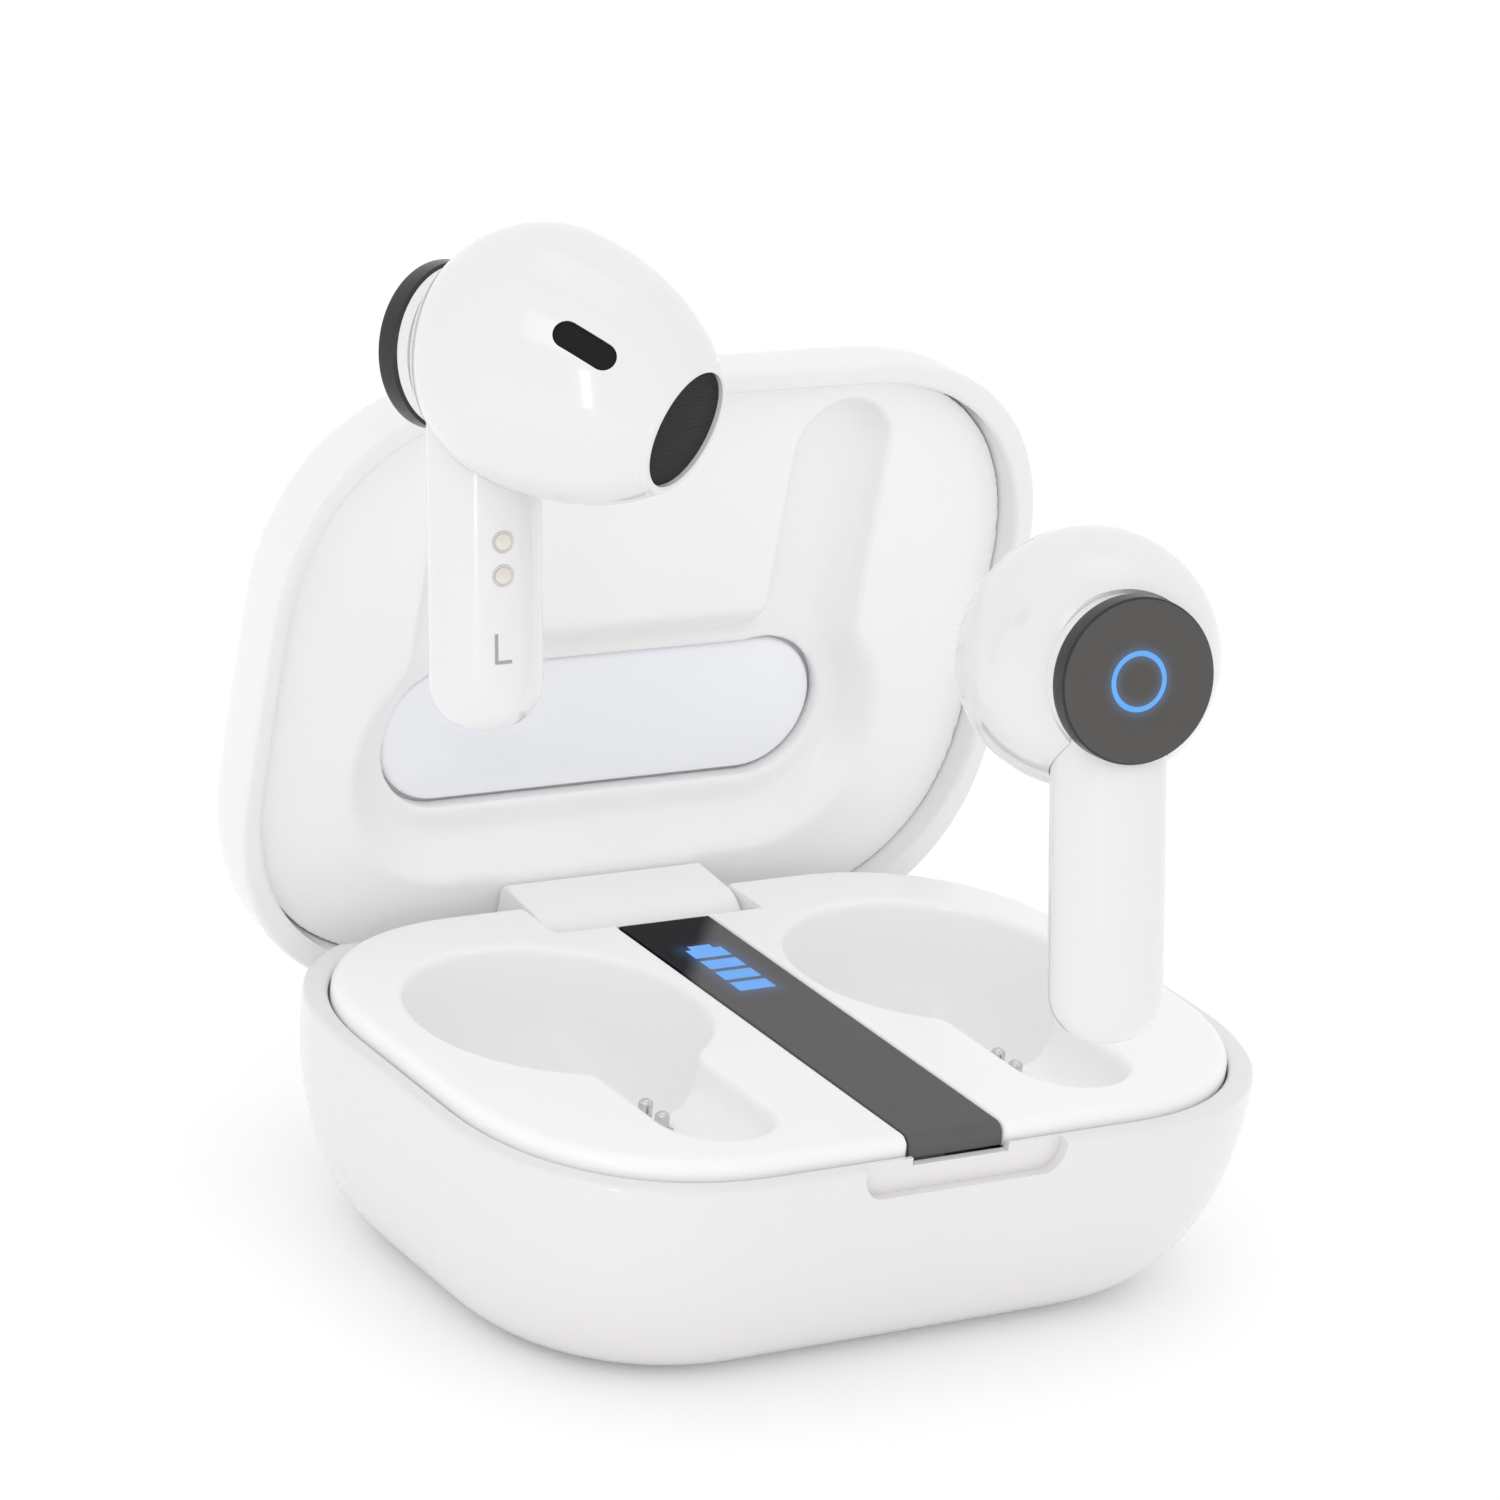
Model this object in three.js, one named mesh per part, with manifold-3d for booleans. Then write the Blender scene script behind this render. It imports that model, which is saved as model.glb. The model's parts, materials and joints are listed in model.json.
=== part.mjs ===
// Wireless earbuds case, standing open, with its two earbuds lifted out in front of it.
// Millimetres, +Z up, +Y to the rear. The origin is the middle of the flat underside.
import * as THREE from 'three';
import { mergeVertices } from 'three/addons/utils/BufferGeometryUtils.js';
import Module from 'manifold-3d';

const wasm = await Module();
wasm.setup();

// ---- Driving dimensions -----------------------------------------------------------
const FIT = 0.3; // gap between pieces that seat on or in each other

// Case outline, the same for base and lid
const CASE_WIDTH = 62;
const CASE_DEPTH = 45;
const CORNER_RADIUS = 16.5;
const CORNER_POWER = 2.25; // 2 is a circular corner, more is squarer
const CORNER_STEPS = 8;
const WALL = 1.5;

// Base shell
const BASE_HEIGHT = 16;
const BASE_TUCK = 8; // how far the flat underside stands in from the rim
const BASE_POWER = 2.12;
const NOTCH_WIDTH = 15;
const NOTCH_HEIGHT = 2.2;
const NOTCH_DEPTH = 0.9;

// Deck with its two pockets
const DECK_RISE = 1.1;
const DECK_PLATE = 1.8;
const DECK_EDGE = 0.9; // rounding of the deck's outer edge
const DECK_WALL = 1;
const BOWL_RADIUS = 10.4;
const BOWL_X = 15.3;
const BOWL_Y = 4.4;
const BOWL_DEPTH = 10.4;
const BOWL_POWER = 3.2;
const SLOT_X = 14.3;
const SLOT_HALF_WIDTH = 4.15;
const SLOT_FRONT_Y = -17.4;
const SLOT_DEPTH = 3.6;

// Status lens, level lights and electronics
const LENS_WIDTH = 7.4;
const LENS_REAR_Y = 15.5;
const LENS_THICKNESS = 0.8;
const LENS_DROP = 1.5;
const LIGHT_COUNT = 4;
const LIGHT_PITCH = 1.9;
const LIGHT_Y = 6.8;
const LIGHT_SIZE = { x: 3.4, y: 1.2, z: 0.5 };
const BOARD_THICKNESS = 0.8;
const BOARD_Z = 8.2;
const BATTERY = { x: 30, y: 20, z: 3.4 };
const SOCKET = { x: 8.9, y: 6.6, z: 3.2 };
const PIN_RADIUS = 0.5;
const PIN_PITCH = 2.1;
const PIN_REACH = 1.2; // how far a charge pin stands out of the slot floor
const PIN_LENGTH = 3.7;
const PIN_MIDDLE_Y = -6.8;
const BLOCK = { x: 3.6, y: 5.6, z: 2.9 };
const MAGNET = { x: 5, y: 3, z: 1.6 };
const SCREW_RADIUS = 0.7;
const SCREW_HEAD_RADIUS = 1.3;
const SCREW_LENGTH = 3.4;

// Hinge and lid
const HINGE_Y = 19.8;
const HINGE_DROP = 2.6; // hinge axis below the base rim
const HINGE_PIN_RADIUS = 0.75;
const HINGE_PIN_LENGTH = 25;
const LEAF_WIDTH = 16.4;
const LUG_WIDTH = 2.6;
const LUG_RADIUS = 1.6;
const BARREL_RADIUS = 2.4;
const LEAF_REACH = 3.6; // front face of the leaf ahead of the hinge axis
const SPRING_WIRE = 0.3;
const SPRING_TURNS = 4;
const LID_OPEN_DEG = 85;
const LID_HEIGHT = 7.6;
const LID_TUCK = 12;
const LID_POWER = 3.9;
const LINER_FACE = 2; // liner face above the lid's rim plane
const LINER_PLATE = 1;
const RECESS_HALF_LENGTH = 21.4;
const RECESS_HALF_WIDTH = 9.3;
const RECESS_Y = 6.3;
const RECESS_SLOPE = 2.2;
const OVAL_HALF_LENGTH = 18;
const OVAL_HALF_WIDTH = 5.4;
const OVAL_Y = 5.8;
const INLAY_THICKNESS = 0.7;
const GROOVE_HALF_WIDTH = 3.9;
const GROOVE_FRONT_Y = -19;
const GROOVE_DEPTH = 2.7;

// Earbuds: n points out of the ear, f forward, z up along the stem from its lower end
const STEM_RADIUS = 3.7;
const STEM_FLATTEN = 0.92; // stem section across n compared with f
const STEM_WALL = 0.8;
const HEAD_RADIUS = 8.2;
const HEAD_WALL = 0.9;
const HEAD_MIDDLE = { n: -4.2, f: 0.85, z: 23.7 }; // centre of the head's widest section
const HEAD_AXIS = { n: -0.916, f: 0.209, z: -0.348 }; // from the touch cap to the speaker
const HEAD_BACK = 8; // widest section to the back of the head
const HEAD_FRONT = 10.8; // widest section to the speaker plane
const HEAD_TAPER = 12.4; // widest section to where the front would close
const SPEAKER_RADIUS = 3.8;
const CAP_RADIUS = 5.25;
const CAP_THICKNESS = 2.4;
const CAP_FACE_N = 3.9;
const CAP_Z = 23.7;
const COLLAR_RADIUS = 4.8;
const COLLAR_DEPTH = 2.6;
const RING_RADIUS = 1.75;
const RING_WIDTH = 0.4;
const CONTACT_TURN_DEG = 27; // contacts face inward, turned this far to the rear
const CONTACT_RADIUS = 0.68;
const CONTACT_Z = 11.35;
const VENT_LENGTH = 4.1;
const VENT_WIDTH = 1.6;
const VENT_ALONG = 13.5; // from the back of the head
const VENT_SIDE = { n: -0.372, f: -0.761, z: 0.532 };
const DRIVER = { radius: 3.9, length: 3 };
const CELL = { radius: 3.2, length: 3.4 };

// ---- Sizes that follow ------------------------------------------------------------
const RIM_Z = BASE_HEIGHT;
const DECK_TOP = RIM_Z + DECK_RISE;
const DECK_INSET = WALL + FIT;
const SLOT_FLOOR = DECK_TOP - SLOT_DEPTH;
const SLOT_RADIUS = SLOT_HALF_WIDTH;
const LID_RIM_Z = RIM_Z + FIT;
const LID_TOP = LID_RIM_Z + LID_HEIGHT;
const LINER_Z = LID_RIM_Z + LINER_FACE;
const LINER_TOP = LID_TOP - WALL - FIT;
const HINGE_Z = RIM_Z - HINGE_DROP;
const LENS_FRONT_Y = -CASE_DEPTH / 2 + DECK_INSET;
const CHANNEL_FLOOR = DECK_TOP - LENS_THICKNESS - FIT;
const STEM_TOP = CAP_Z - 1;
const HEAD_LENGTH = HEAD_BACK + HEAD_FRONT;
const HEAD_SPREAD = 1 - Math.cos(Math.PI * 0.78);
const SIDES = [['left', -1], ['right', 1]];

// ---- Materials --------------------------------------------------------------------
function finish(color, roughness, metalness) {
  return () => new THREE.MeshStandardMaterial({ color, roughness, metalness });
}
const glossWhite = finish(0xf3f2f3, 0.18, 0);
const satinWhite = finish(0xf0eff1, 0.35, 0);
const paleWhite = finish(0xe6e8ee, 0.25, 0);
const blackGloss = finish(0x1e1e20, 0.1, 0);
const darkMetal = finish(0x4a4a4c, 0.3, 0.7);
const blackMesh = finish(0x141214, 0.7, 0.3);
const blueLight = finish(0x5aa6f2, 0.4, 0);
const gold = finish(0xd9cdb6, 0.3, 0.9);
const steel = finish(0xb8babd, 0.3, 0.9);
const boardGreen = finish(0x1f5c40, 0.5, 0);
const foilGrey = finish(0xa9acb0, 0.45, 0.3);
const blackPlastic = finish(0x222224, 0.5, 0);

// ---- Solid helpers ----------------------------------------------------------------
function toSolid(geometry) {
  const bare = geometry.index ? geometry.toNonIndexed() : geometry.clone();
  bare.deleteAttribute('normal');
  bare.deleteAttribute('uv');
  const merged = mergeVertices(bare, 1e-4);
  return new wasm.Manifold(new wasm.Mesh({
    numProp: 3,
    vertProperties: new Float32Array(merged.attributes.position.array),
    triVerts: new Uint32Array(merged.index.array),
  }));
}

function toGeometry(solid) {
  const data = solid.getMesh();
  const geometry = new THREE.BufferGeometry();
  geometry.setAttribute('position', new THREE.BufferAttribute(data.vertProperties, 3));
  geometry.setIndex(new THREE.BufferAttribute(data.triVerts, 1));
  geometry.computeVertexNormals();
  return geometry;
}

function named(name, shape, material) {
  const geometry = shape.isBufferGeometry ? shape : toGeometry(shape);
  const mesh = new THREE.Mesh(geometry, material());
  mesh.name = name;
  return mesh;
}

// A box given by its lowest and highest corners.
function box(low, high) {
  const size = high.map((value, axis) => value - low[axis]);
  const middle = high.map((value, axis) => (value + low[axis]) / 2);
  return toSolid(new THREE.BoxGeometry(...size).translate(...middle));
}

// A box of a named size, centred on x and y, standing on z.
function block(size, x, y, z) {
  return new THREE.BoxGeometry(size.x, size.y, size.z).translate(x, y, z + size.z / 2);
}

function uprightRod(radius, bottom, top, x, y, sides = 16) {
  const rod = new THREE.CylinderGeometry(radius, radius, top - bottom, sides);
  return rod.rotateX(Math.PI / 2).translate(x, y, (top + bottom) / 2);
}

function crossRod(radius, length, y, z, sides = 16) {
  return new THREE.CylinderGeometry(radius, radius, length, sides).rotateZ(Math.PI / 2).translate(0, y, z);
}

// Points of the case outline, pulled in by an inset, at height z, anticlockwise.
function caseRing(inset, z) {
  const radius = Math.max(CORNER_RADIUS - inset * 0.6, 4);
  const halfX = CASE_WIDTH / 2 - inset - radius;
  const halfY = CASE_DEPTH / 2 - inset - radius;
  const ring = [];
  for (let corner = 0; corner < 4; corner += 1) {
    const signX = corner === 0 || corner === 3 ? 1 : -1;
    const signY = corner < 2 ? 1 : -1;
    for (let step = 0; step <= CORNER_STEPS; step += 1) {
      const turn = (corner % 2 === 0 ? step : CORNER_STEPS - step) / CORNER_STEPS * Math.PI / 2;
      const x = halfX + radius * Math.cos(turn) ** (2 / CORNER_POWER);
      const y = halfY + radius * Math.sin(turn) ** (2 / CORNER_POWER);
      ring.push(new THREE.Vector3(signX * x, signY * y, z));
    }
  }
  return ring;
}

// Joins rings of equally many points into one closed body with flat ends.
function loft(rings) {
  const count = rings[0].length;
  const points = rings.flat();
  const faces = [];
  for (let level = 0; level + 1 < rings.length; level += 1) {
    for (let step = 0; step < count; step += 1) {
      const a = level * count + step;
      const b = level * count + (step + 1) % count;
      faces.push(a, b, b + count, a, b + count, a + count);
    }
  }
  const last = (rings.length - 1) * count;
  for (let step = 1; step + 1 < count; step += 1) {
    faces.push(0, step + 1, step, last, last + step, last + step + 1);
  }
  const geometry = new THREE.BufferGeometry().setFromPoints(points);
  geometry.setIndex(faces);
  return geometry;
}

// How far a rounded wall has come in at a share of its height, from 0 at the rim to 1.
function tuckIn(tuck, share, power) {
  return tuck * (1 - (1 - share ** power) ** (1 / power));
}

// Heights bunched towards the far end, where the wall turns over.
function shares(levels) {
  return Array.from({ length: levels + 1 }, (unused, level) => Math.sin(level / levels * Math.PI / 2));
}

// Solid case half: rim at rimZ, closed end at endZ, pulled in by an inset all over.
function caseHalf(rimZ, endZ, tuck, power, inset, levels) {
  const rings = shares(levels).map((share) => {
    const z = rimZ + (endZ - rimZ) * share;
    return caseRing(inset + tuckIn(tuck, share, power), z);
  });
  return toSolid(loft(endZ < rimZ ? rings.reverse() : rings));
}

// A capsule outline in plan: straight between two rounded ends.
function capsuleShape(halfLength, halfWidth, steps = 10) {
  const straight = halfLength - halfWidth;
  const shape = new THREE.Shape();
  for (let step = 0; step <= 2 * steps; step += 1) {
    const turn = -Math.PI / 2 + (step % (steps + 1)) / steps * Math.PI + (step > steps ? Math.PI : 0);
    const centre = step > steps ? -straight : straight;
    const point = [centre + halfWidth * Math.cos(turn), halfWidth * Math.sin(turn)];
    if (step === 0) {
      shape.moveTo(...point);
    } else {
      shape.lineTo(...point);
    }
  }
  const turn = Math.PI * 1.5;
  shape.lineTo(-straight + halfWidth * Math.cos(turn), halfWidth * Math.sin(turn));
  return shape;
}

// Rings of a capsule that changes size with height, for tapered recesses.
function capsuleRing(halfLength, halfWidth, y, z) {
  const points = capsuleShape(halfLength, halfWidth).getPoints();
  return points.slice(0, 22).map((point) => new THREE.Vector3(point.x, point.y + y, z));
}

function extruded(shape, depth, bottom) {
  return new THREE.ExtrudeGeometry(shape, { depth, bevelEnabled: false, steps: 1 }).translate(0, 0, bottom);
}

// Extrudes a (y, z) outline along x, centred on x = 0.
function acrossX(outline, width) {
  const shape = new THREE.Shape(outline.map(([y, z]) => new THREE.Vector2(y, z)));
  const bar = new THREE.ExtrudeGeometry(shape, { depth: width, bevelEnabled: false, steps: 1 });
  return bar.translate(0, 0, -width / 2).rotateY(Math.PI / 2).rotateX(Math.PI / 2);
}

// ---- Base -------------------------------------------------------------------------
function baseShell() {
  const outer = caseHalf(RIM_Z, 0, BASE_TUCK, BASE_POWER, 0, 7);
  const inner = caseHalf(RIM_Z + 1, WALL, BASE_TUCK, BASE_POWER, WALL, 6);
  const front = -CASE_DEPTH / 2;
  const notch = box(
    [-NOTCH_WIDTH / 2, front - 1, RIM_Z - NOTCH_HEIGHT],
    [NOTCH_WIDTH / 2, front + NOTCH_DEPTH, RIM_Z + 1],
  );
  const lensBay = box(
    [-LENS_WIDTH / 2 - FIT, front - 1, DECK_TOP - LENS_DROP - FIT],
    [LENS_WIDTH / 2 + FIT, front + WALL + 1, RIM_Z + 1],
  );
  const leafBay = box(
    [-LEAF_WIDTH / 2 - FIT, HINGE_Y - LEAF_REACH, HINGE_Z - BARREL_RADIUS - FIT],
    [LEAF_WIDTH / 2 + FIT, CASE_DEPTH / 2 + 1, RIM_Z + 1],
  );
  const lugHalf = LEAF_WIDTH / 2 + LUG_WIDTH + 3 * FIT;
  const lugBay = box(
    [-lugHalf, HINGE_Y - LEAF_REACH, HINGE_Z - LUG_RADIUS - FIT],
    [lugHalf, HINGE_Y + LUG_RADIUS + FIT, RIM_Z + 1],
  );
  const socketHole = box(
    [-SOCKET.x / 2 - FIT, CASE_DEPTH / 2 - 8, BOARD_Z - SOCKET.z - 2 * FIT],
    [SOCKET.x / 2 + FIT, CASE_DEPTH / 2 + 1, BOARD_Z - FIT + FIT],
  );
  // The rear edge is rounded about the hinge, so the lid's rear edge can swing down past it.
  const relief = box([-CASE_WIDTH / 2, HINGE_Y, HINGE_Z], [CASE_WIDTH / 2, CASE_DEPTH, RIM_Z + 1])
    .subtract(toSolid(crossRod(HINGE_DROP, CASE_WIDTH * 2, HINGE_Y, HINGE_Z, 32)));
  return outer.subtract(inner).subtract(notch).subtract(lensBay).subtract(leafBay)
    .subtract(lugBay).subtract(socketHole).subtract(relief);
}

function bowlProfile(radius, depth, top, extra) {
  const profile = [new THREE.Vector2(0, top - depth)];
  const steps = 7;
  for (let step = 1; step <= steps; step += 1) {
    const turn = step / steps * Math.PI / 2;
    const out = radius * Math.sin(turn) ** (2 / BOWL_POWER);
    const up = depth * Math.cos(turn) ** (2 / BOWL_POWER);
    profile.push(new THREE.Vector2(out, top - up));
  }
  profile.push(new THREE.Vector2(radius, top + extra), new THREE.Vector2(0, top + extra));
  return profile;
}

function bowl(side, grow, extra) {
  const profile = bowlProfile(BOWL_RADIUS + grow, BOWL_DEPTH + grow, DECK_TOP, extra);
  const turned = new THREE.LatheGeometry(profile, 28).rotateX(Math.PI / 2);
  return toSolid(turned.translate(side * BOWL_X, BOWL_Y, 0));
}

function slot(side, grow, extra) {
  const halfLength = (BOWL_Y - SLOT_FRONT_Y) / 2 + grow;
  const shape = capsuleShape(halfLength, SLOT_RADIUS + grow, 7);
  const bar = extruded(shape, SLOT_DEPTH + grow + extra, SLOT_FLOOR - grow).rotateZ(Math.PI / 2);
  return toSolid(bar.translate(side * SLOT_X, (BOWL_Y + SLOT_FRONT_Y) / 2, 0));
}

function pinSpots(side) {
  return [-1, 1].map((end) => ({
    x: side * SLOT_X,
    y: PIN_MIDDLE_Y + end * PIN_PITCH / 2,
    place: end < 0 ? 'front' : 'rear',
  }));
}

function deck() {
  const plate = toSolid(loft([
    caseRing(DECK_INSET, DECK_TOP - DECK_PLATE),
    caseRing(DECK_INSET, DECK_TOP - DECK_EDGE),
    caseRing(DECK_INSET + DECK_EDGE * 0.3, DECK_TOP - DECK_EDGE * 0.3),
    caseRing(DECK_INSET + DECK_EDGE, DECK_TOP),
  ]));
  let solid = plate;
  SIDES.forEach(([, side]) => {
    solid = solid.add(bowl(side, DECK_WALL, -1)).add(slot(side, DECK_WALL, -1 - DECK_WALL));
  });
  SIDES.forEach(([, side]) => {
    solid = solid.subtract(bowl(side, 0, 1)).subtract(slot(side, 0, 1));
    pinSpots(side).forEach(({ x, y }) => {
      const bore = uprightRod(PIN_RADIUS + FIT, SLOT_FLOOR - PIN_LENGTH - 1, SLOT_FLOOR + 1, x, y, 12);
      solid = solid.subtract(toSolid(bore));
    });
  });
  const half = LENS_WIDTH / 2 + FIT;
  const channel = box([-half, LENS_FRONT_Y - 3, CHANNEL_FLOOR], [half, LENS_REAR_Y + FIT, DECK_TOP + 1]);
  const lip = box(
    [-half, LENS_FRONT_Y - 3, RIM_Z - 4],
    [half, LENS_FRONT_Y + LENS_THICKNESS + FIT, DECK_TOP],
  );
  const lightBay = box(
    [-LIGHT_SIZE.x / 2 - FIT, LIGHT_Y - LIGHT_COUNT * LIGHT_PITCH / 2 - FIT, CHANNEL_FLOOR - 2],
    [LIGHT_SIZE.x / 2 + FIT, LIGHT_Y + LIGHT_COUNT * LIGHT_PITCH / 2 + FIT, DECK_TOP],
  );
  const leafGap = box(
    [-LEAF_WIDTH / 2 - FIT, HINGE_Y - LEAF_REACH - FIT, RIM_Z - 6],
    [LEAF_WIDTH / 2 + FIT, CASE_DEPTH, DECK_TOP + 1],
  );
  const lugGap = box(
    [-HINGE_PIN_LENGTH / 2 - 1, HINGE_Y - LUG_RADIUS - FIT, RIM_Z - 4],
    [HINGE_PIN_LENGTH / 2 + 1, CASE_DEPTH, HINGE_Z + LUG_RADIUS + FIT],
  );
  return solid.subtract(channel).subtract(lip).subtract(lightBay).subtract(leafGap).subtract(lugGap);
}

// Dark lens along the middle of the deck, bent down over the deck's front edge.
function statusLens() {
  const top = DECK_TOP;
  const under = DECK_TOP - LENS_THICKNESS;
  const outline = [
    [LENS_REAR_Y, under],
    [LENS_REAR_Y, top],
    [LENS_FRONT_Y + 1, top],
    [LENS_FRONT_Y + 0.4, top - 0.15],
    [LENS_FRONT_Y, top - 0.5],
    [LENS_FRONT_Y, top - LENS_DROP],
    [LENS_FRONT_Y + LENS_THICKNESS, top - LENS_DROP],
    [LENS_FRONT_Y + LENS_THICKNESS, under],
  ];
  return acrossX(outline, LENS_WIDTH);
}

function levelLights() {
  return Array.from({ length: LIGHT_COUNT }, (unused, index) => {
    const y = LIGHT_Y + (index - (LIGHT_COUNT - 1) / 2) * LIGHT_PITCH;
    const bar = block(LIGHT_SIZE, 0, y, CHANNEL_FLOOR - LIGHT_SIZE.z - FIT / 3);
    return named(`level_light_${index + 1}`, bar, blueLight);
  });
}

// Board shaped like an I: wide under the slots, narrow between the bowls, wide by the socket.
function mainBoard() {
  const neck = BOWL_X - BOWL_RADIUS - DECK_WALL - FIT;
  const rear = LENS_REAR_Y + 3;
  const frontBar = box([-SLOT_X - 4, SLOT_FRONT_Y, BOARD_Z], [SLOT_X + 4, -7.6, BOARD_Z + BOARD_THICKNESS]);
  const spine = box([-neck, -8, BOARD_Z], [neck, rear, BOARD_Z + BOARD_THICKNESS]);
  const rearBar = box([-SOCKET.x / 2, rear - 5, BOARD_Z], [SOCKET.x / 2, rear, BOARD_Z + BOARD_THICKNESS]);
  let solid = frontBar.add(spine).add(rearBar);
  screwSpots().forEach(({ x, y }) => {
    solid = solid.subtract(toSolid(uprightRod(SCREW_RADIUS + FIT, BOARD_Z - 1, BOARD_Z + 2, x, y, 12)));
  });
  return solid;
}

function screwSpots() {
  const y = (SLOT_FRONT_Y - 7.6) / 2;
  return [{ x: -5, y, place: 'left' }, { x: 5, y, place: 'right' }];
}

function boardScrew({ x, y }) {
  const headBottom = BOARD_Z + BOARD_THICKNESS + FIT;
  const shank = toSolid(uprightRod(SCREW_RADIUS, headBottom - SCREW_LENGTH, headBottom + 0.2, x, y, 12));
  return shank.add(toSolid(uprightRod(SCREW_HEAD_RADIUS, headBottom, headBottom + 0.8, x, y, 12)));
}

function socket() {
  const shell = block(SOCKET, 0, 0, 0);
  const mouth = box([-SOCKET.x / 2 + 0.5, -1, 0.5], [SOCKET.x / 2 - 0.5, SOCKET.y, SOCKET.z - 0.5]);
  const tongueHalf = SOCKET.x / 2 - 1.4;
  const tongue = box([-tongueHalf, -2, SOCKET.z / 2 - 0.35], [tongueHalf, 2, SOCKET.z / 2 + 0.35]);
  const y = CASE_DEPTH / 2 - WALL - 1 - SOCKET.y / 2;
  return toSolid(shell).subtract(mouth).add(tongue).translate([0, y, BOARD_Z - FIT - SOCKET.z]);
}

function pinBlock(side) {
  const bottom = BOARD_Z + BOARD_THICKNESS + FIT;
  let solid = toSolid(block(BLOCK, side * SLOT_X, PIN_MIDDLE_Y, bottom));
  pinSpots(side).forEach(({ x, y }) => {
    const bore = uprightRod(PIN_RADIUS + FIT, bottom - 1, bottom + BLOCK.z + 1, x, y, 12);
    solid = solid.subtract(toSolid(bore));
  });
  return solid.subtract(bowl(side, DECK_WALL + FIT, 0)).subtract(slot(side, DECK_WALL + FIT, 0));
}

function chargePin({ x, y }) {
  const top = SLOT_FLOOR + PIN_REACH;
  const bottom = top - PIN_LENGTH;
  const profile = [
    new THREE.Vector2(0, bottom),
    new THREE.Vector2(PIN_RADIUS, bottom),
    new THREE.Vector2(PIN_RADIUS, top - PIN_RADIUS * 0.8),
    new THREE.Vector2(PIN_RADIUS * 0.7, top - PIN_RADIUS * 0.25),
    new THREE.Vector2(0, top),
  ];
  return new THREE.LatheGeometry(profile, 12).rotateX(Math.PI / 2).translate(x, y, 0);
}

// ---- Hinge ------------------------------------------------------------------------
function hingeLug(side) {
  const inner = LEAF_WIDTH / 2 + FIT * 2;
  const rod = crossRod(LUG_RADIUS, LUG_WIDTH, HINGE_Y, HINGE_Z, 16);
  const bore = crossRod(HINGE_PIN_RADIUS + FIT, LUG_WIDTH + 2, HINGE_Y, HINGE_Z, 12);
  const foot = box(
    [-LUG_WIDTH / 2, HINGE_Y - LUG_RADIUS, BOARD_Z + 1.6],
    [LUG_WIDTH / 2, HINGE_Y + 0.3, HINGE_Z],
  );
  const solid = toSolid(rod).add(foot).subtract(toSolid(bore));
  const room = caseHalf(RIM_Z + 1, WALL, BASE_TUCK, BASE_POWER, WALL + FIT / 2, 6);
  return solid.translate([side * (inner + LUG_WIDTH / 2), 0, 0]).intersect(room);
}

function hingeSpring() {
  const radius = HINGE_PIN_RADIUS + FIT + SPRING_WIRE;
  const pitch = SPRING_WIRE * 2.5;
  const start = LEAF_WIDTH / 2 - 2 * FIT - SPRING_TURNS * pitch;
  class Coil extends THREE.Curve {
    getPoint(t, target = new THREE.Vector3()) {
      const turn = t * SPRING_TURNS * Math.PI * 2;
      const along = start + t * SPRING_TURNS * pitch;
      return target.set(along, HINGE_Y + radius * Math.cos(turn), HINGE_Z + radius * Math.sin(turn));
    }
  }
  const section = new THREE.Shape();
  section.absarc(0, 0, SPRING_WIRE, 0, Math.PI * 2);
  return new THREE.ExtrudeGeometry(section, {
    steps: SPRING_TURNS * 10,
    curveSegments: 3,
    extrudePath: new Coil(),
  });
}

// ---- Lid, drawn closed and then opened about the hinge ----------------------------
function lidShell() {
  const outer = caseHalf(LID_RIM_Z, LID_TOP, LID_TUCK, LID_POWER, 0, 7);
  const inner = caseHalf(LID_RIM_Z - 1, LID_TOP - WALL, LID_TUCK, LID_POWER, WALL, 6);
  return outer.subtract(inner);
}

function groove(side, grow, depth) {
  const halfLength = (RECESS_Y - GROOVE_FRONT_Y) / 2 + grow;
  const shape = capsuleShape(halfLength, GROOVE_HALF_WIDTH + grow, 7);
  const bar = extruded(shape, depth, LINER_Z - 1).rotateZ(Math.PI / 2);
  return toSolid(bar.translate(side * SLOT_X, (RECESS_Y + GROOVE_FRONT_Y) / 2, 0));
}

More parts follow.
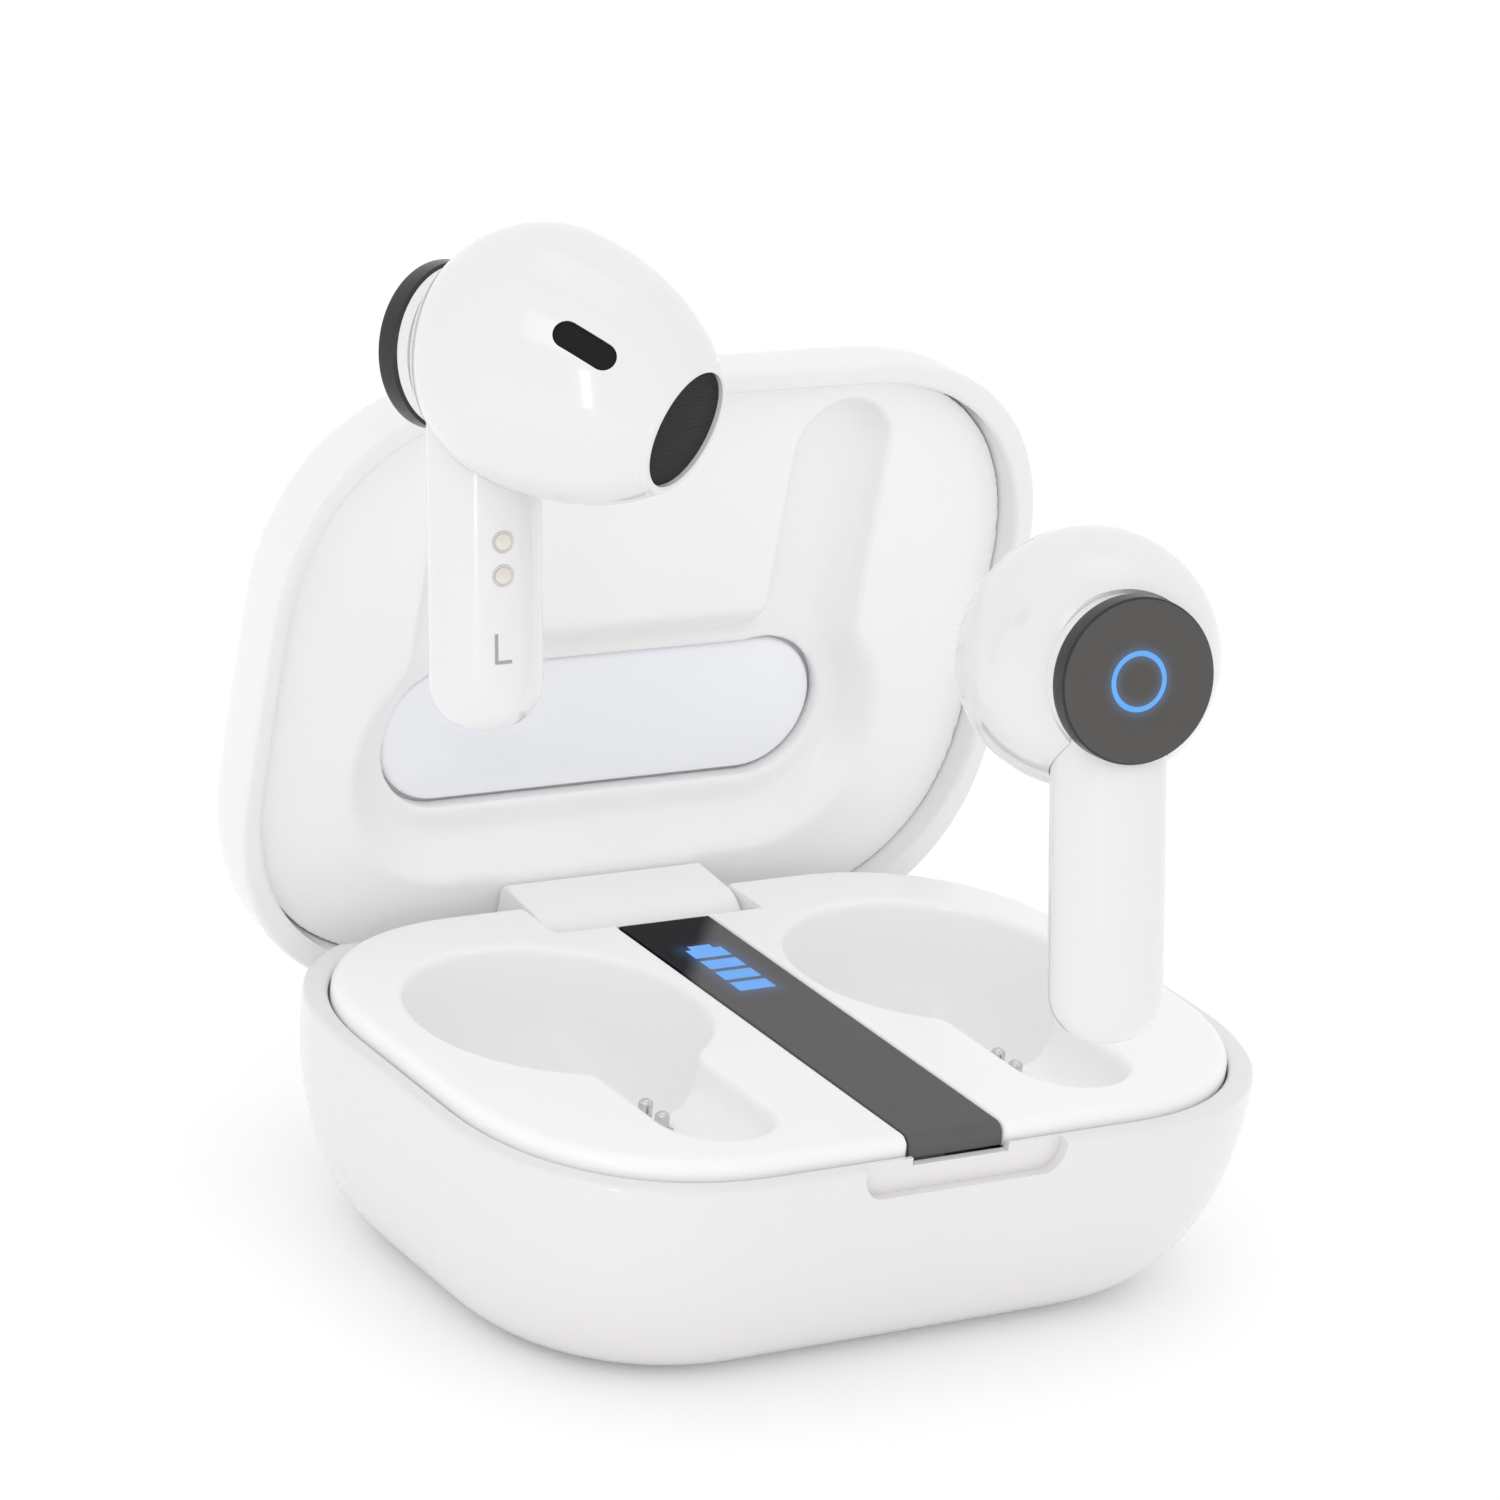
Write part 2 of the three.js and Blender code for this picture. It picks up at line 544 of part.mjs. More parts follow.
function lidLiner() {
  const plate = toSolid(loft([
    caseRing(DECK_INSET, LINER_Z),
    caseRing(DECK_INSET, LINER_Z + LINER_PLATE),
  ]));
  const cup = toSolid(loft([
    capsuleRing(RECESS_HALF_LENGTH + 0.4, RECESS_HALF_WIDTH + 0.4, RECESS_Y, LINER_Z + 0.5),
    capsuleRing(RECESS_HALF_LENGTH - 0.6, RECESS_HALF_WIDTH - 0.6, RECESS_Y, LINER_TOP),
  ]));
  const recess = toSolid(loft([
    capsuleRing(RECESS_HALF_LENGTH, RECESS_HALF_WIDTH, RECESS_Y, LINER_Z - 1),
    capsuleRing(RECESS_HALF_LENGTH, RECESS_HALF_WIDTH, RECESS_Y, LINER_Z),
    capsuleRing(
      RECESS_HALF_LENGTH - RECESS_SLOPE,
      RECESS_HALF_WIDTH - RECESS_SLOPE,
      RECESS_Y,
      LINER_TOP - 1.4,
    ),
  ]));
  const oval = toSolid(loft([
    capsuleRing(OVAL_HALF_LENGTH, OVAL_HALF_WIDTH, OVAL_Y, LINER_Z),
    capsuleRing(OVAL_HALF_LENGTH, OVAL_HALF_WIDTH, OVAL_Y, LINER_TOP + 1),
  ]));
  let solid = plate.add(cup);
  SIDES.forEach(([, side]) => {
    solid = solid.add(groove(side, LINER_PLATE * 0.8, 1 + GROOVE_DEPTH + LINER_PLATE * 0.8)
      .subtract(box([-CASE_WIDTH, -CASE_DEPTH, 0], [CASE_WIDTH, CASE_DEPTH, LINER_Z])));
  });
  SIDES.forEach(([, side]) => {
    solid = solid.subtract(groove(side, 0, 1 + GROOVE_DEPTH));
  });
  const magnetBay = box(
    [-MAGNET.x / 2 - FIT, GROOVE_FRONT_Y - FIT, LINER_Z + LINER_PLATE - 0.2],
    [MAGNET.x / 2 + FIT, GROOVE_FRONT_Y + MAGNET.y + FIT, LINER_TOP + 1],
  );
  const room = caseHalf(LID_RIM_Z - 1, LINER_TOP, LID_TUCK, LID_POWER, WALL + FIT, 6);
  return solid.intersect(room).subtract(recess).subtract(oval).subtract(magnetBay);
}

function lidInlay() {
  const half = OVAL_HALF_LENGTH - FIT;
  return loft([
    capsuleRing(half, OVAL_HALF_WIDTH - FIT, OVAL_Y, LINER_TOP - INLAY_THICKNESS),
    capsuleRing(half, OVAL_HALF_WIDTH - FIT, OVAL_Y, LINER_TOP),
  ]);
}

// Leaf that carries the lid on the hinge pin. Its front face lies level with the deck
// when the lid is open.
function hingeLeaf() {
  const top = LINER_Z - FIT - HINGE_Z;
  const back = CASE_DEPTH / 2 - WALL - FIT - HINGE_Y;
  const outline = [[-LEAF_REACH + 0.4, top], [-LEAF_REACH, top - 0.4]];
  const steps = 12;
  for (let step = 0; step <= steps; step += 1) {
    const share = step / steps;
    const radius = BARREL_RADIUS + (LEAF_REACH - BARREL_RADIUS) * Math.max(0, 1 - share * 2.5);
    const turn = Math.PI + share * (Math.PI + Math.acos(back / BARREL_RADIUS));
    outline.push([radius * Math.cos(turn), radius * Math.sin(turn)]);
  }
  outline.push([back, top]);
  const bar = toSolid(acrossX(outline, LEAF_WIDTH)).translate([0, HINGE_Y, HINGE_Z]);
  const bore = crossRod(HINGE_PIN_RADIUS + FIT, LEAF_WIDTH + 2, HINGE_Y, HINGE_Z, 12);
  const coilLength = SPRING_TURNS * SPRING_WIRE * 2.5 + 2 * SPRING_WIRE + 3 * FIT;
  const roomRadius = HINGE_PIN_RADIUS + 2 * SPRING_WIRE + 2 * FIT;
  const coilRoom = crossRod(roomRadius, coilLength + 1, HINGE_Y, HINGE_Z, 16)
    .translate(LEAF_WIDTH / 2 + 0.5 - coilLength / 2, 0, 0);
  return bar.subtract(toSolid(bore)).subtract(toSolid(coilRoom));
}

// ---- Earbuds ----------------------------------------------------------------------
// Puts a shape drawn along +Z onto a line that starts at a point and runs along a direction.
function alongLine(geometry, start, direction) {
  const turn = new THREE.Quaternion().setFromUnitVectors(new THREE.Vector3(0, 0, 1), direction);
  return geometry.applyQuaternion(turn).translate(start.x, start.y, start.z);
}

function turnedRod(radius, length, start, direction, sides = 20) {
  const rod = new THREE.CylinderGeometry(radius, radius, length, sides);
  return alongLine(rod.rotateX(Math.PI / 2).translate(0, 0, length / 2), start, direction);
}

function budFrame(side) {
  const sided = ({ n, f, z }) => new THREE.Vector3(side * n, f, z);
  const collar = sided({ n: CAP_FACE_N - CAP_THICKNESS, f: 0, z: CAP_Z });
  const axis = sided(HEAD_AXIS).normalize();
  const base = sided(HEAD_MIDDLE).addScaledVector(axis, -HEAD_BACK);
  const tip = base.clone().addScaledVector(axis, HEAD_LENGTH);
  const out = new THREE.Vector3(side, 0, 0);
  const turn = THREE.MathUtils.degToRad(CONTACT_TURN_DEG);
  const contact = new THREE.Vector3(-side * Math.cos(turn), -Math.sin(turn), 0);
  const ventSide = sided(VENT_SIDE);
  ventSide.addScaledVector(axis, -ventSide.dot(axis)).normalize();
  return { side, tip, collar, axis, base, out, contact, ventSide };
}

// Radius of the head at a distance from its back: a round back and a longer front.
function headRadius(along, shrink) {
  const offset = along - HEAD_BACK;
  const reach = offset < 0 ? HEAD_BACK - shrink : HEAD_TAPER - shrink;
  return (HEAD_RADIUS - shrink) * Math.sqrt(Math.max(0, 1 - (offset / reach) ** 2));
}

function headProfile(shrink, steps) {
  const end = HEAD_LENGTH - shrink * 0.8;
  const profile = [new THREE.Vector2(0, shrink)];
  for (let step = 1; step <= steps; step += 1) {
    const along = shrink + (end - shrink) * (1 - Math.cos(step / steps * Math.PI * 0.78)) / HEAD_SPREAD;
    profile.push(new THREE.Vector2(headRadius(along, shrink), along));
  }
  profile.push(new THREE.Vector2(0, end));
  return profile;
}

function headSolid(frame, shrink) {
  const lathe = new THREE.LatheGeometry(headProfile(shrink, 11), 26).rotateX(Math.PI / 2);
  return toSolid(alongLine(lathe, frame.base, frame.axis));
}

// Stem outline grown outward, from its lower end up into the head.
function stemSolid(grow, bottom, top) {
  const radius = STEM_RADIUS + grow;
  const profile = [new THREE.Vector2(0, bottom - grow)];
  const steps = 5;
  for (let step = 1; step <= steps; step += 1) {
    const turn = step / steps * Math.PI / 2;
    const out = radius * Math.sin(turn) ** 0.85;
    profile.push(new THREE.Vector2(out, bottom - grow + 0.85 * radius * (1 - Math.cos(turn))));
  }
  profile.push(new THREE.Vector2(radius, top), new THREE.Vector2(0, top));
  return toSolid(new THREE.LatheGeometry(profile, 20).rotateX(Math.PI / 2).scale(STEM_FLATTEN, 1, 1));
}

function collarSolid(frame, grow) {
  const start = frame.collar.clone().addScaledVector(frame.out, -COLLAR_DEPTH - FIT - grow);
  return toSolid(turnedRod(COLLAR_RADIUS + grow, COLLAR_DEPTH + 2 * grow, start, frame.out));
}

function headShell(frame) {
  const hollow = headSolid(frame, HEAD_WALL);
  const mouthStart = frame.tip.clone().addScaledVector(frame.axis, -1.6);
  const speakerMouth = toSolid(turnedRod(SPEAKER_RADIUS, 3, mouthStart, frame.axis));
  const solid = headSolid(frame, 0).subtract(hollow).subtract(speakerMouth);
  return solid.subtract(stemSolid(FIT, 0, STEM_TOP + FIT)).subtract(collarSolid(frame, FIT))
    .subtract(capEnvelope(frame, FIT)).subtract(ventSolid(frame, FIT, 3));
}

function capEnvelope(frame, grow) {
  const start = frame.collar.clone().addScaledVector(frame.out, -grow);
  return toSolid(turnedRod(CAP_RADIUS + grow, CAP_THICKNESS + 2, start, frame.out, 24));
}

function stemShell(frame) {
  const inside = stemSolid(-STEM_WALL, STEM_WALL, STEM_TOP + 1);
  let solid = stemSolid(0, 0, STEM_TOP).add(collarSolid(frame, 0)).subtract(inside);
  const boreStart = frame.collar.clone().addScaledVector(frame.out, -6);
  const bore = turnedRod(COLLAR_RADIUS - 1.2, 9, boreStart, frame.out);
  solid = solid.subtract(toSolid(bore)).subtract(capEnvelope(frame, FIT));
  contactSpots(frame).forEach((spot) => {
    solid = solid.subtract(toSolid(turnedRod(CONTACT_RADIUS + FIT, 3, spot.start, frame.contact, 14)));
  });
  return solid;
}

function contactSpots(frame) {
  return [['lower', -0.5], ['upper', 0.5]].map(([place, step]) => {
    const start = new THREE.Vector3(0, 0, CONTACT_Z + step * PIN_PITCH);
    start.addScaledVector(frame.contact, STEM_RADIUS * STEM_FLATTEN - STEM_WALL - 0.2);
    return { place, start };
  });
}

function touchCap(frame) {
  const start = frame.collar.clone().addScaledVector(frame.out, 0);
  const chamfer = 0.35;
  const profile = [
    new THREE.Vector2(0, 0),
    new THREE.Vector2(CAP_RADIUS - chamfer, 0),
    new THREE.Vector2(CAP_RADIUS, chamfer),
    new THREE.Vector2(CAP_RADIUS, CAP_THICKNESS - chamfer),
    new THREE.Vector2(CAP_RADIUS - chamfer, CAP_THICKNESS),
    new THREE.Vector2(RING_RADIUS + RING_WIDTH / 2 + FIT, CAP_THICKNESS),
    new THREE.Vector2(RING_RADIUS + RING_WIDTH / 2 + FIT, CAP_THICKNESS - 1),
    new THREE.Vector2(RING_RADIUS - RING_WIDTH / 2 - FIT, CAP_THICKNESS - 1),
    new THREE.Vector2(RING_RADIUS - RING_WIDTH / 2 - FIT, CAP_THICKNESS),
    new THREE.Vector2(0, CAP_THICKNESS),
  ];
  return alongLine(new THREE.LatheGeometry(profile, 28).rotateX(Math.PI / 2), start, frame.out);
}

function lightRing(frame) {
  const start = frame.collar.clone();
  const low = CAP_THICKNESS - 1 + FIT;
  const profile = [
    new THREE.Vector2(RING_RADIUS - RING_WIDTH / 2, low),
    new THREE.Vector2(RING_RADIUS + RING_WIDTH / 2, low),
    new THREE.Vector2(RING_RADIUS + RING_WIDTH / 2, CAP_THICKNESS),
    new THREE.Vector2(RING_RADIUS - RING_WIDTH / 2, CAP_THICKNESS),
    new THREE.Vector2(RING_RADIUS - RING_WIDTH / 2, low),
  ];
  return alongLine(new THREE.LatheGeometry(profile, 24).rotateX(Math.PI / 2), start, frame.out);
}

function speakerMesh(frame) {
  const start = frame.tip.clone().addScaledVector(frame.axis, -0.8);
  return turnedRod(SPEAKER_RADIUS - FIT, 0.8, start, frame.axis, 24);
}

// Slot-shaped vent in the ear side of the head, as a short bar through the head's wall.
function ventSolid(frame, grow, depth) {
  const middle = frame.base.clone().addScaledVector(frame.axis, VENT_ALONG);
  const surface = headRadius(VENT_ALONG, 0);
  middle.addScaledVector(frame.ventSide, surface - depth + (grow > 0 ? 1 : -0.1));
  const shape = capsuleShape(VENT_LENGTH / 2 - FIT + grow, VENT_WIDTH / 2 - FIT + grow, 5);
  const bar = new THREE.ExtrudeGeometry(shape, { depth, bevelEnabled: false, steps: 1 });
  const across = frame.ventSide.clone().cross(frame.axis);
  const turn = new THREE.Matrix4().makeBasis(frame.axis, across, frame.ventSide);
  return toSolid(bar.applyMatrix4(turn).translate(middle.x, middle.y, middle.z));
}

function insideHead(frame, radius, length, along) {
  const start = frame.base.clone().addScaledVector(frame.axis, along);
  return turnedRod(radius, length, start, frame.axis, 18);
}

function budParts(label, side) {
  const frame = budFrame(side);
  const driverStart = HEAD_LENGTH - 0.8 - FIT - DRIVER.length - 1.6;
  const cellStart = driverStart - FIT - CELL.length;
  const meshes = [
    named(`head_shell_${label}`, headShell(frame), glossWhite),
    named(`stem_shell_${label}`, stemShell(frame), glossWhite),
    named(`touch_cap_${label}`, touchCap(frame), darkMetal),
    named(`light_ring_${label}`, lightRing(frame), blueLight),
    named(`speaker_mesh_${label}`, speakerMesh(frame), blackMesh),
    named(`vent_mesh_${label}`, ventSolid(frame, 0, 0.7), blackMesh),
    named(`speaker_driver_${label}`, insideHead(frame, DRIVER.radius, DRIVER.length, driverStart), steel),
    named(`bud_cell_${label}`, insideHead(frame, CELL.radius, CELL.length, cellStart), foilGrey),
    named(`bud_board_${label}`, block({ x: 0.6, y: 3.6, z: 14 }, side * 0.9, 0, 5), boardGreen),
    named(`microphone_${label}`, block({ x: 2.4, y: 1.8, z: 1 }, 0, 0, 2.6), steel),
  ];
  contactSpots(frame).forEach(({ place, start }) => {
    const pad = turnedRod(CONTACT_RADIUS, STEM_WALL + 0.3, start, frame.contact, 14);
    meshes.push(named(`contact_${place}_${label}`, pad, gold));
  });
  return meshes;
}

// ---- Where each earbud floats -----------------------------------------------------
// Lower end of the stem, and the directions of the bud's n and z axes.
const BUD_PLACES = {
  left: {
    foot: new THREE.Vector3(-33, -10.3, BASE_HEIGHT + 28.3),
    out: new THREE.Vector3(-0.2513, 0.9506, -0.1822),
    up: new THREE.Vector3(-0.0319, 0.1782, 0.9835),
  },
  right: {
    foot: new THREE.Vector3(-0.8, -35.3, BASE_HEIGHT + 13.8),
    out: new THREE.Vector3(-0.1566, -0.972, 0.1704),
    up: new THREE.Vector3(-0.0319, 0.1782, 0.9835),
  },
};

function placedBud(label, side) {
  const { foot, out, up } = BUD_PLACES[label];
  const z = up.clone().normalize();
  const n = out.clone().addScaledVector(z, -out.dot(z)).normalize().multiplyScalar(side);
  const f = z.clone().cross(n);
  const group = new THREE.Group();
  group.applyMatrix4(new THREE.Matrix4().makeBasis(n, f, z).setPosition(foot));
  group.add(...budParts(label, side));
  return group;
}

// ---- Assembly ---------------------------------------------------------------------
function baseParts() {
  const meshes = [
    named('base_shell', baseShell(), glossWhite),
    named('deck', deck(), satinWhite),
    named('status_lens', statusLens(), blackGloss),
    ...levelLights(),
    named('main_board', mainBoard(), boardGreen),
    named('case_cell', block(BATTERY, 0, -1, WALL + FIT), foilGrey),
    named('charging_socket', socket(), steel),
    named('closing_magnet_base', block(MAGNET, 0, LENS_FRONT_Y + 3, RIM_Z - 4.4), steel),
    named('hinge_pin', crossRod(HINGE_PIN_RADIUS, HINGE_PIN_LENGTH, HINGE_Y, HINGE_Z, 14), steel),
    named('hinge_spring', hingeSpring(), steel),
  ];
  screwSpots().forEach((spot) => {
    meshes.push(named(`board_screw_${spot.place}`, boardScrew(spot), steel));
  });
  SIDES.forEach(([label, side]) => {
    meshes.push(named(`pin_block_${label}`, pinBlock(side), blackPlastic));
    meshes.push(named(`hinge_lug_${label}`, hingeLug(side), satinWhite));
    pinSpots(side).forEach((spot) => {
      meshes.push(named(`charge_pin_${label}_${spot.place}`, chargePin(spot), gold));
    });
  });
  return meshes;
}

function openedLid() {
  const hinge = new THREE.Group();
  hinge.position.set(0, HINGE_Y, HINGE_Z);
  hinge.rotation.x = -THREE.MathUtils.degToRad(LID_OPEN_DEG);
  const lid = new THREE.Group();
  lid.position.set(0, -HINGE_Y, -HINGE_Z);
  lid.add(
    named('lid_shell', lidShell(), glossWhite),
    named('lid_liner', lidLiner(), satinWhite),
    named('lid_inlay', lidInlay(), paleWhite),
    named('hinge_leaf', hingeLeaf(), glossWhite),
    named(
      'closing_magnet_lid',
      block(MAGNET, 0, GROOVE_FRONT_Y + MAGNET.y / 2, LINER_Z + LINER_PLATE + 0.1),
      steel,
    ),
  );
  hinge.add(lid);
  return hinge;
}

const earbudsCase = new THREE.Group();
earbudsCase.add(...baseParts(), openedLid());
SIDES.forEach(([label, side]) => earbudsCase.add(placedBud(label, side)));

export default earbudsCase;
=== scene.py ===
"""Looks of the wireless earbuds case: smooth shells, pockets, lights and materials on the CAD frame."""

import itertools
import json
import math

import bmesh
import bpy
import numpy as np
from mathutils import Matrix, Vector


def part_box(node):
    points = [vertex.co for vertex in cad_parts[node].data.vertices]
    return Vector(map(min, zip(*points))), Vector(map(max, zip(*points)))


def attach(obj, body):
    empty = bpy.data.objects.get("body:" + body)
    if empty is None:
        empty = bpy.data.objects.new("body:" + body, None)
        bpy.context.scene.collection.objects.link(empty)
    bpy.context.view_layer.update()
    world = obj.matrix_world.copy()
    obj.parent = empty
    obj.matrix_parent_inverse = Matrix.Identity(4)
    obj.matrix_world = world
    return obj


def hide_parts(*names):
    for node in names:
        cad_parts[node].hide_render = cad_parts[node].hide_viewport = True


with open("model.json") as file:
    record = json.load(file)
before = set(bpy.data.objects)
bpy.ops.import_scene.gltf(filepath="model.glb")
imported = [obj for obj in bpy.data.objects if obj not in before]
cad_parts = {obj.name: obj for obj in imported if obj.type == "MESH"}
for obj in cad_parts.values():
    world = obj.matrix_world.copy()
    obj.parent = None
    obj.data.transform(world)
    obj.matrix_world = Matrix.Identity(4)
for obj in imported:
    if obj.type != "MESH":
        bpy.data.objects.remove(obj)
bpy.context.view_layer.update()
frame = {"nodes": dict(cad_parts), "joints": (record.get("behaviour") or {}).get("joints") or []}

MM = 0.001
SIDES = (("left", -1), ("right", 1))


def box_mm(node):
    low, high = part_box(node)
    return np.array(low) / MM, np.array(high) / MM


def middle_mm(node):
    low, high = box_mm(node)
    return (low + high) / 2


# ---- Case sizes in millimetres, from the frame ------------------------------------
base_low, base_high = box_mm("base_shell")
deck_low, deck_high = box_mm("deck")
lens_low, lens_high = box_mm("status_lens")
hinge = next(joint for joint in frame["joints"] if joint["name"] == "lid_hinge")
HINGE = np.array(hinge["pos_m"]) / MM
OPEN_ANGLE = math.radians(hinge["range_deg"][1])
LIGHT_MIDDLE = (middle_mm("level_light_1")[1] + middle_mm("level_light_4")[1]) / 2
CASE_WIDTH = base_high[0] - base_low[0]
CASE_DEPTH = -2 * base_low[1]
RIM_Z = base_high[2]
DECK_TOP = deck_high[2]
LENS_HALF = lens_high[0]
LEAF_HALF = box_mm("hinge_leaf")[1][0]

# ---- Case shape -------------------------------------------------------------------
CORNER_RADIUS = 16.5
CORNER_POWER = 2.25
CORNER_STEPS = 22
WALL = 1.5
GAP = 0.3
SEAM = 0.12
RIM_ROUND = 0.35
BASE_TUCK = 8
BASE_POWER = 2.12
LID_TUCK = 12
LID_POWER = 3.9
LID_HEIGHT = 7.6
LID_RIM_Z = RIM_Z + GAP
LID_TOP = LID_RIM_Z + LID_HEIGHT
REAR_ROUND = RIM_Z - HINGE[2]

# ---- Deck and pockets -------------------------------------------------------------
DECK_PLATE = 1.8
DECK_EDGE = 0.9
BOWL_RADIUS = 10.4
BOWL_DEPTH = 10.4
BOWL_POWER = 3.2
BOWL_X = 15.3
BOWL_Y = 4.4
SLOT_X = 14.3
SLOT_HALF = 4.15
SLOT_FRONT_Y = -17.4
SLOT_FLOOR = DECK_TOP - 3.6
POCKET_WALL = 1
LEAF_FRONT_Y = HINGE[1] - 3.6
LENS_OVERHANG = 0.22

# ---- Lid lining -------------------------------------------------------------------
LINER_Z = LID_RIM_Z + 2
LINER_TOP = LID_TOP - WALL - GAP
RECESS_Y = 6.3
RECESS_HALF = (21.4, 9.3)
RECESS_SLOPE = 2.2
OVAL_Y = 5.8
OVAL_HALF = (18, 5.4)
GROOVE_HALF = 3.9
GROOVE_FRONT_Y = -19
GROOVE_DEPTH = 2.7

# ---- Earbud shape, in its own frame: x out of the ear, y forward, z up the stem ----
STEM_RADIUS = 3.7
STEM_FLATTEN = 0.92
HEAD_RADIUS = 8.2
HEAD_WALL = 0.9
HEAD_MIDDLE = (-4.2, 0.85, 23.7)
HEAD_AXIS = (-0.916, 0.209, -0.348)
HEAD_BACK = 8
HEAD_FRONT = 10.8
HEAD_TAPER = 12.4
SPEAKER_RADIUS = 3.8
CAP_RADIUS = 5.25
CAP_THICKNESS = 2.4
CAP_FACE_X = 3.9
CAP_Z = 23.7
COLLAR_RADIUS = 4.8
COLLAR_DEPTH = 2.6
NECK_RADIUS = 5.1
NECK_HEIGHT = 0.8
STEM_TOP = CAP_Z - 1
RING_RADIUS = 1.75
RING_WIDTH = 0.36
CONTACT_TURN = math.radians(27)
CONTACT_RADIUS = 0.52
CONTACT_RIM_WIDTH = 0.17
VENT_ALONG = 13.5
VENT_SIDE = (-0.372, -0.761, 0.532)
VENT_HALF = (2.05, 0.8)


# ---- Material nodes ---------------------------------------------------------------
def new_material(name):
    material = bpy.data.materials.new(name)
    material.use_nodes = True
    tree = material.node_tree
    return material, tree, tree.nodes["Principled BSDF"]


def link(tree, source, target):
    tree.links.new(source, target)


def add(tree, kind, **values):
    node = tree.nodes.new(kind)
    for key, value in values.items():
        setattr(node, key, value)
    return node


def math_node(tree, operation, first, second=0.0, clamp=False):
    node = add(tree, "ShaderNodeMath", operation=operation, use_clamp=clamp)
    for socket, value in zip(node.inputs, (first, second)):
        if isinstance(value, (int, float)):
            socket.default_value = value
        else:
            link(tree, value, socket)
    return node.outputs[0]


def noise(tree, scale, detail=2.0):
    where = add(tree, "ShaderNodeTexCoord")
    node = add(tree, "ShaderNodeTexNoise")
    node.inputs["Scale"].default_value = scale
    node.inputs["Detail"].default_value = detail
    link(tree, where.outputs["Object"], node.inputs["Vector"])
    return node.outputs["Fac"]


def ramp(tree, source, low, high):
    node = add(tree, "ShaderNodeMapRange")
    link(tree, source, node.inputs["Value"])
    node.inputs["To Min"].default_value = low
    node.inputs["To Max"].default_value = high
    return node.outputs["Result"]


def tinted(tree, source, low, high):
    node = add(tree, "ShaderNodeMix", data_type="RGBA")
    link(tree, source, node.inputs["Factor"])
    node.inputs["A"].default_value = (*low, 1)
    node.inputs["B"].default_value = (*high, 1)
    return node.outputs["Result"]


def bump(tree, shader, source, strength, distance):
    node = add(tree, "ShaderNodeBump")
    node.inputs["Strength"].default_value = strength
    node.inputs["Distance"].default_value = distance
    link(tree, source, node.inputs["Height"])
    link(tree, node.outputs["Normal"], shader.inputs["Normal"])


def plastic(name, color, roughness, coat=0.0, shade=0.97, lift=0.0):
    """Moulded plastic: a faint cloud in the colour, uneven gloss and a very fine surface ripple; lift is a
    painted glow, an emission in the plastic's own colour that brightens it in shade.
    """
    material, tree, shader = new_material(name)
    cloud = noise(tree, 60)
    darker = tuple(value * shade for value in color)
    link(tree, tinted(tree, cloud, darker, color), shader.inputs["Base Color"])
    link(tree, ramp(tree, noise(tree, 900), roughness * 0.85, roughness * 1.15), shader.inputs["Roughness"])
    shader.inputs["Coat Weight"].default_value = coat
    shader.inputs["Coat Roughness"].default_value = 0.06
    shader.inputs["Subsurface Weight"].default_value = 0.06
    shader.inputs["Subsurface Radius"].default_value = (0.002, 0.002, 0.002)
    # Painted glow: by the lift strength the plastic gives off light in its own colour, though it is no lamp.
    shader.inputs["Emission Color"].default_value = (*color, 1)
    shader.inputs["Emission Strength"].default_value = lift
    bump(tree, shader, noise(tree, 1400, 3), 0.04, 0.00003)
    return material


def metal(name, color, roughness):
    material, tree, shader = new_material(name)
    shader.inputs["Metallic"].default_value = 1
    darker = tuple(value * 0.86 for value in color)
    link(tree, tinted(tree, noise(tree, 800), darker, color), shader.inputs["Base Color"])
    link(tree, ramp(tree, noise(tree, 2500), roughness * 0.7, roughness * 1.4), shader.inputs["Roughness"])
    return material


def light_material(name, color, strength):
    material, tree, shader = new_material(name)
    pale = tuple(min(1, value * 1.12 + 0.02) for value in color)
    tint = tinted(tree, noise(tree, 700), color, pale)
    link(tree, tint, shader.inputs["Emission Color"])
    shader.inputs["Base Color"].default_value = (0.01, 0.03, 0.06, 1)
    shader.inputs["Specular IOR Level"].default_value = 0.1
    shader.inputs["Emission Strength"].default_value = strength
    shader.inputs["Roughness"].default_value = 0.3
    return material


def grille(name, pitch):
    """Fine woven grille: rows of small dark holes between slightly lighter threads."""
    material, tree, shader = new_material(name)
    where = add(tree, "ShaderNodeTexCoord")
    holes = add(tree, "ShaderNodeTexVoronoi", voronoi_dimensions="2D")
    holes.inputs["Scale"].default_value = 1 / (pitch * MM)
    holes.inputs["Randomness"].default_value = 0
    link(tree, where.outputs["Object"], holes.inputs["Vector"])
    thread = math_node(tree, "MULTIPLY", holes.outputs["Distance"], 1.8, clamp=True)
    shade = tinted(tree, thread, (0.001, 0.001, 0.001), (0.018, 0.016, 0.017))
    link(tree, shade, shader.inputs["Base Color"])
    shader.inputs["Roughness"].default_value = 0.5
    shader.inputs["Specular IOR Level"].default_value = 0.12
    bump(tree, shader, thread, 0.6, 0.0001)
    return material


def glow_mask(tree, distance, reach):
    """1 on a shape's edge, falling smoothly to 0 at the reach."""
    share = math_node(tree, "DIVIDE", distance, reach)
    fall = math_node(tree, "SUBTRACT", 1.0, share, clamp=True)
    return math_node(tree, "POWER", fall, 2.2)


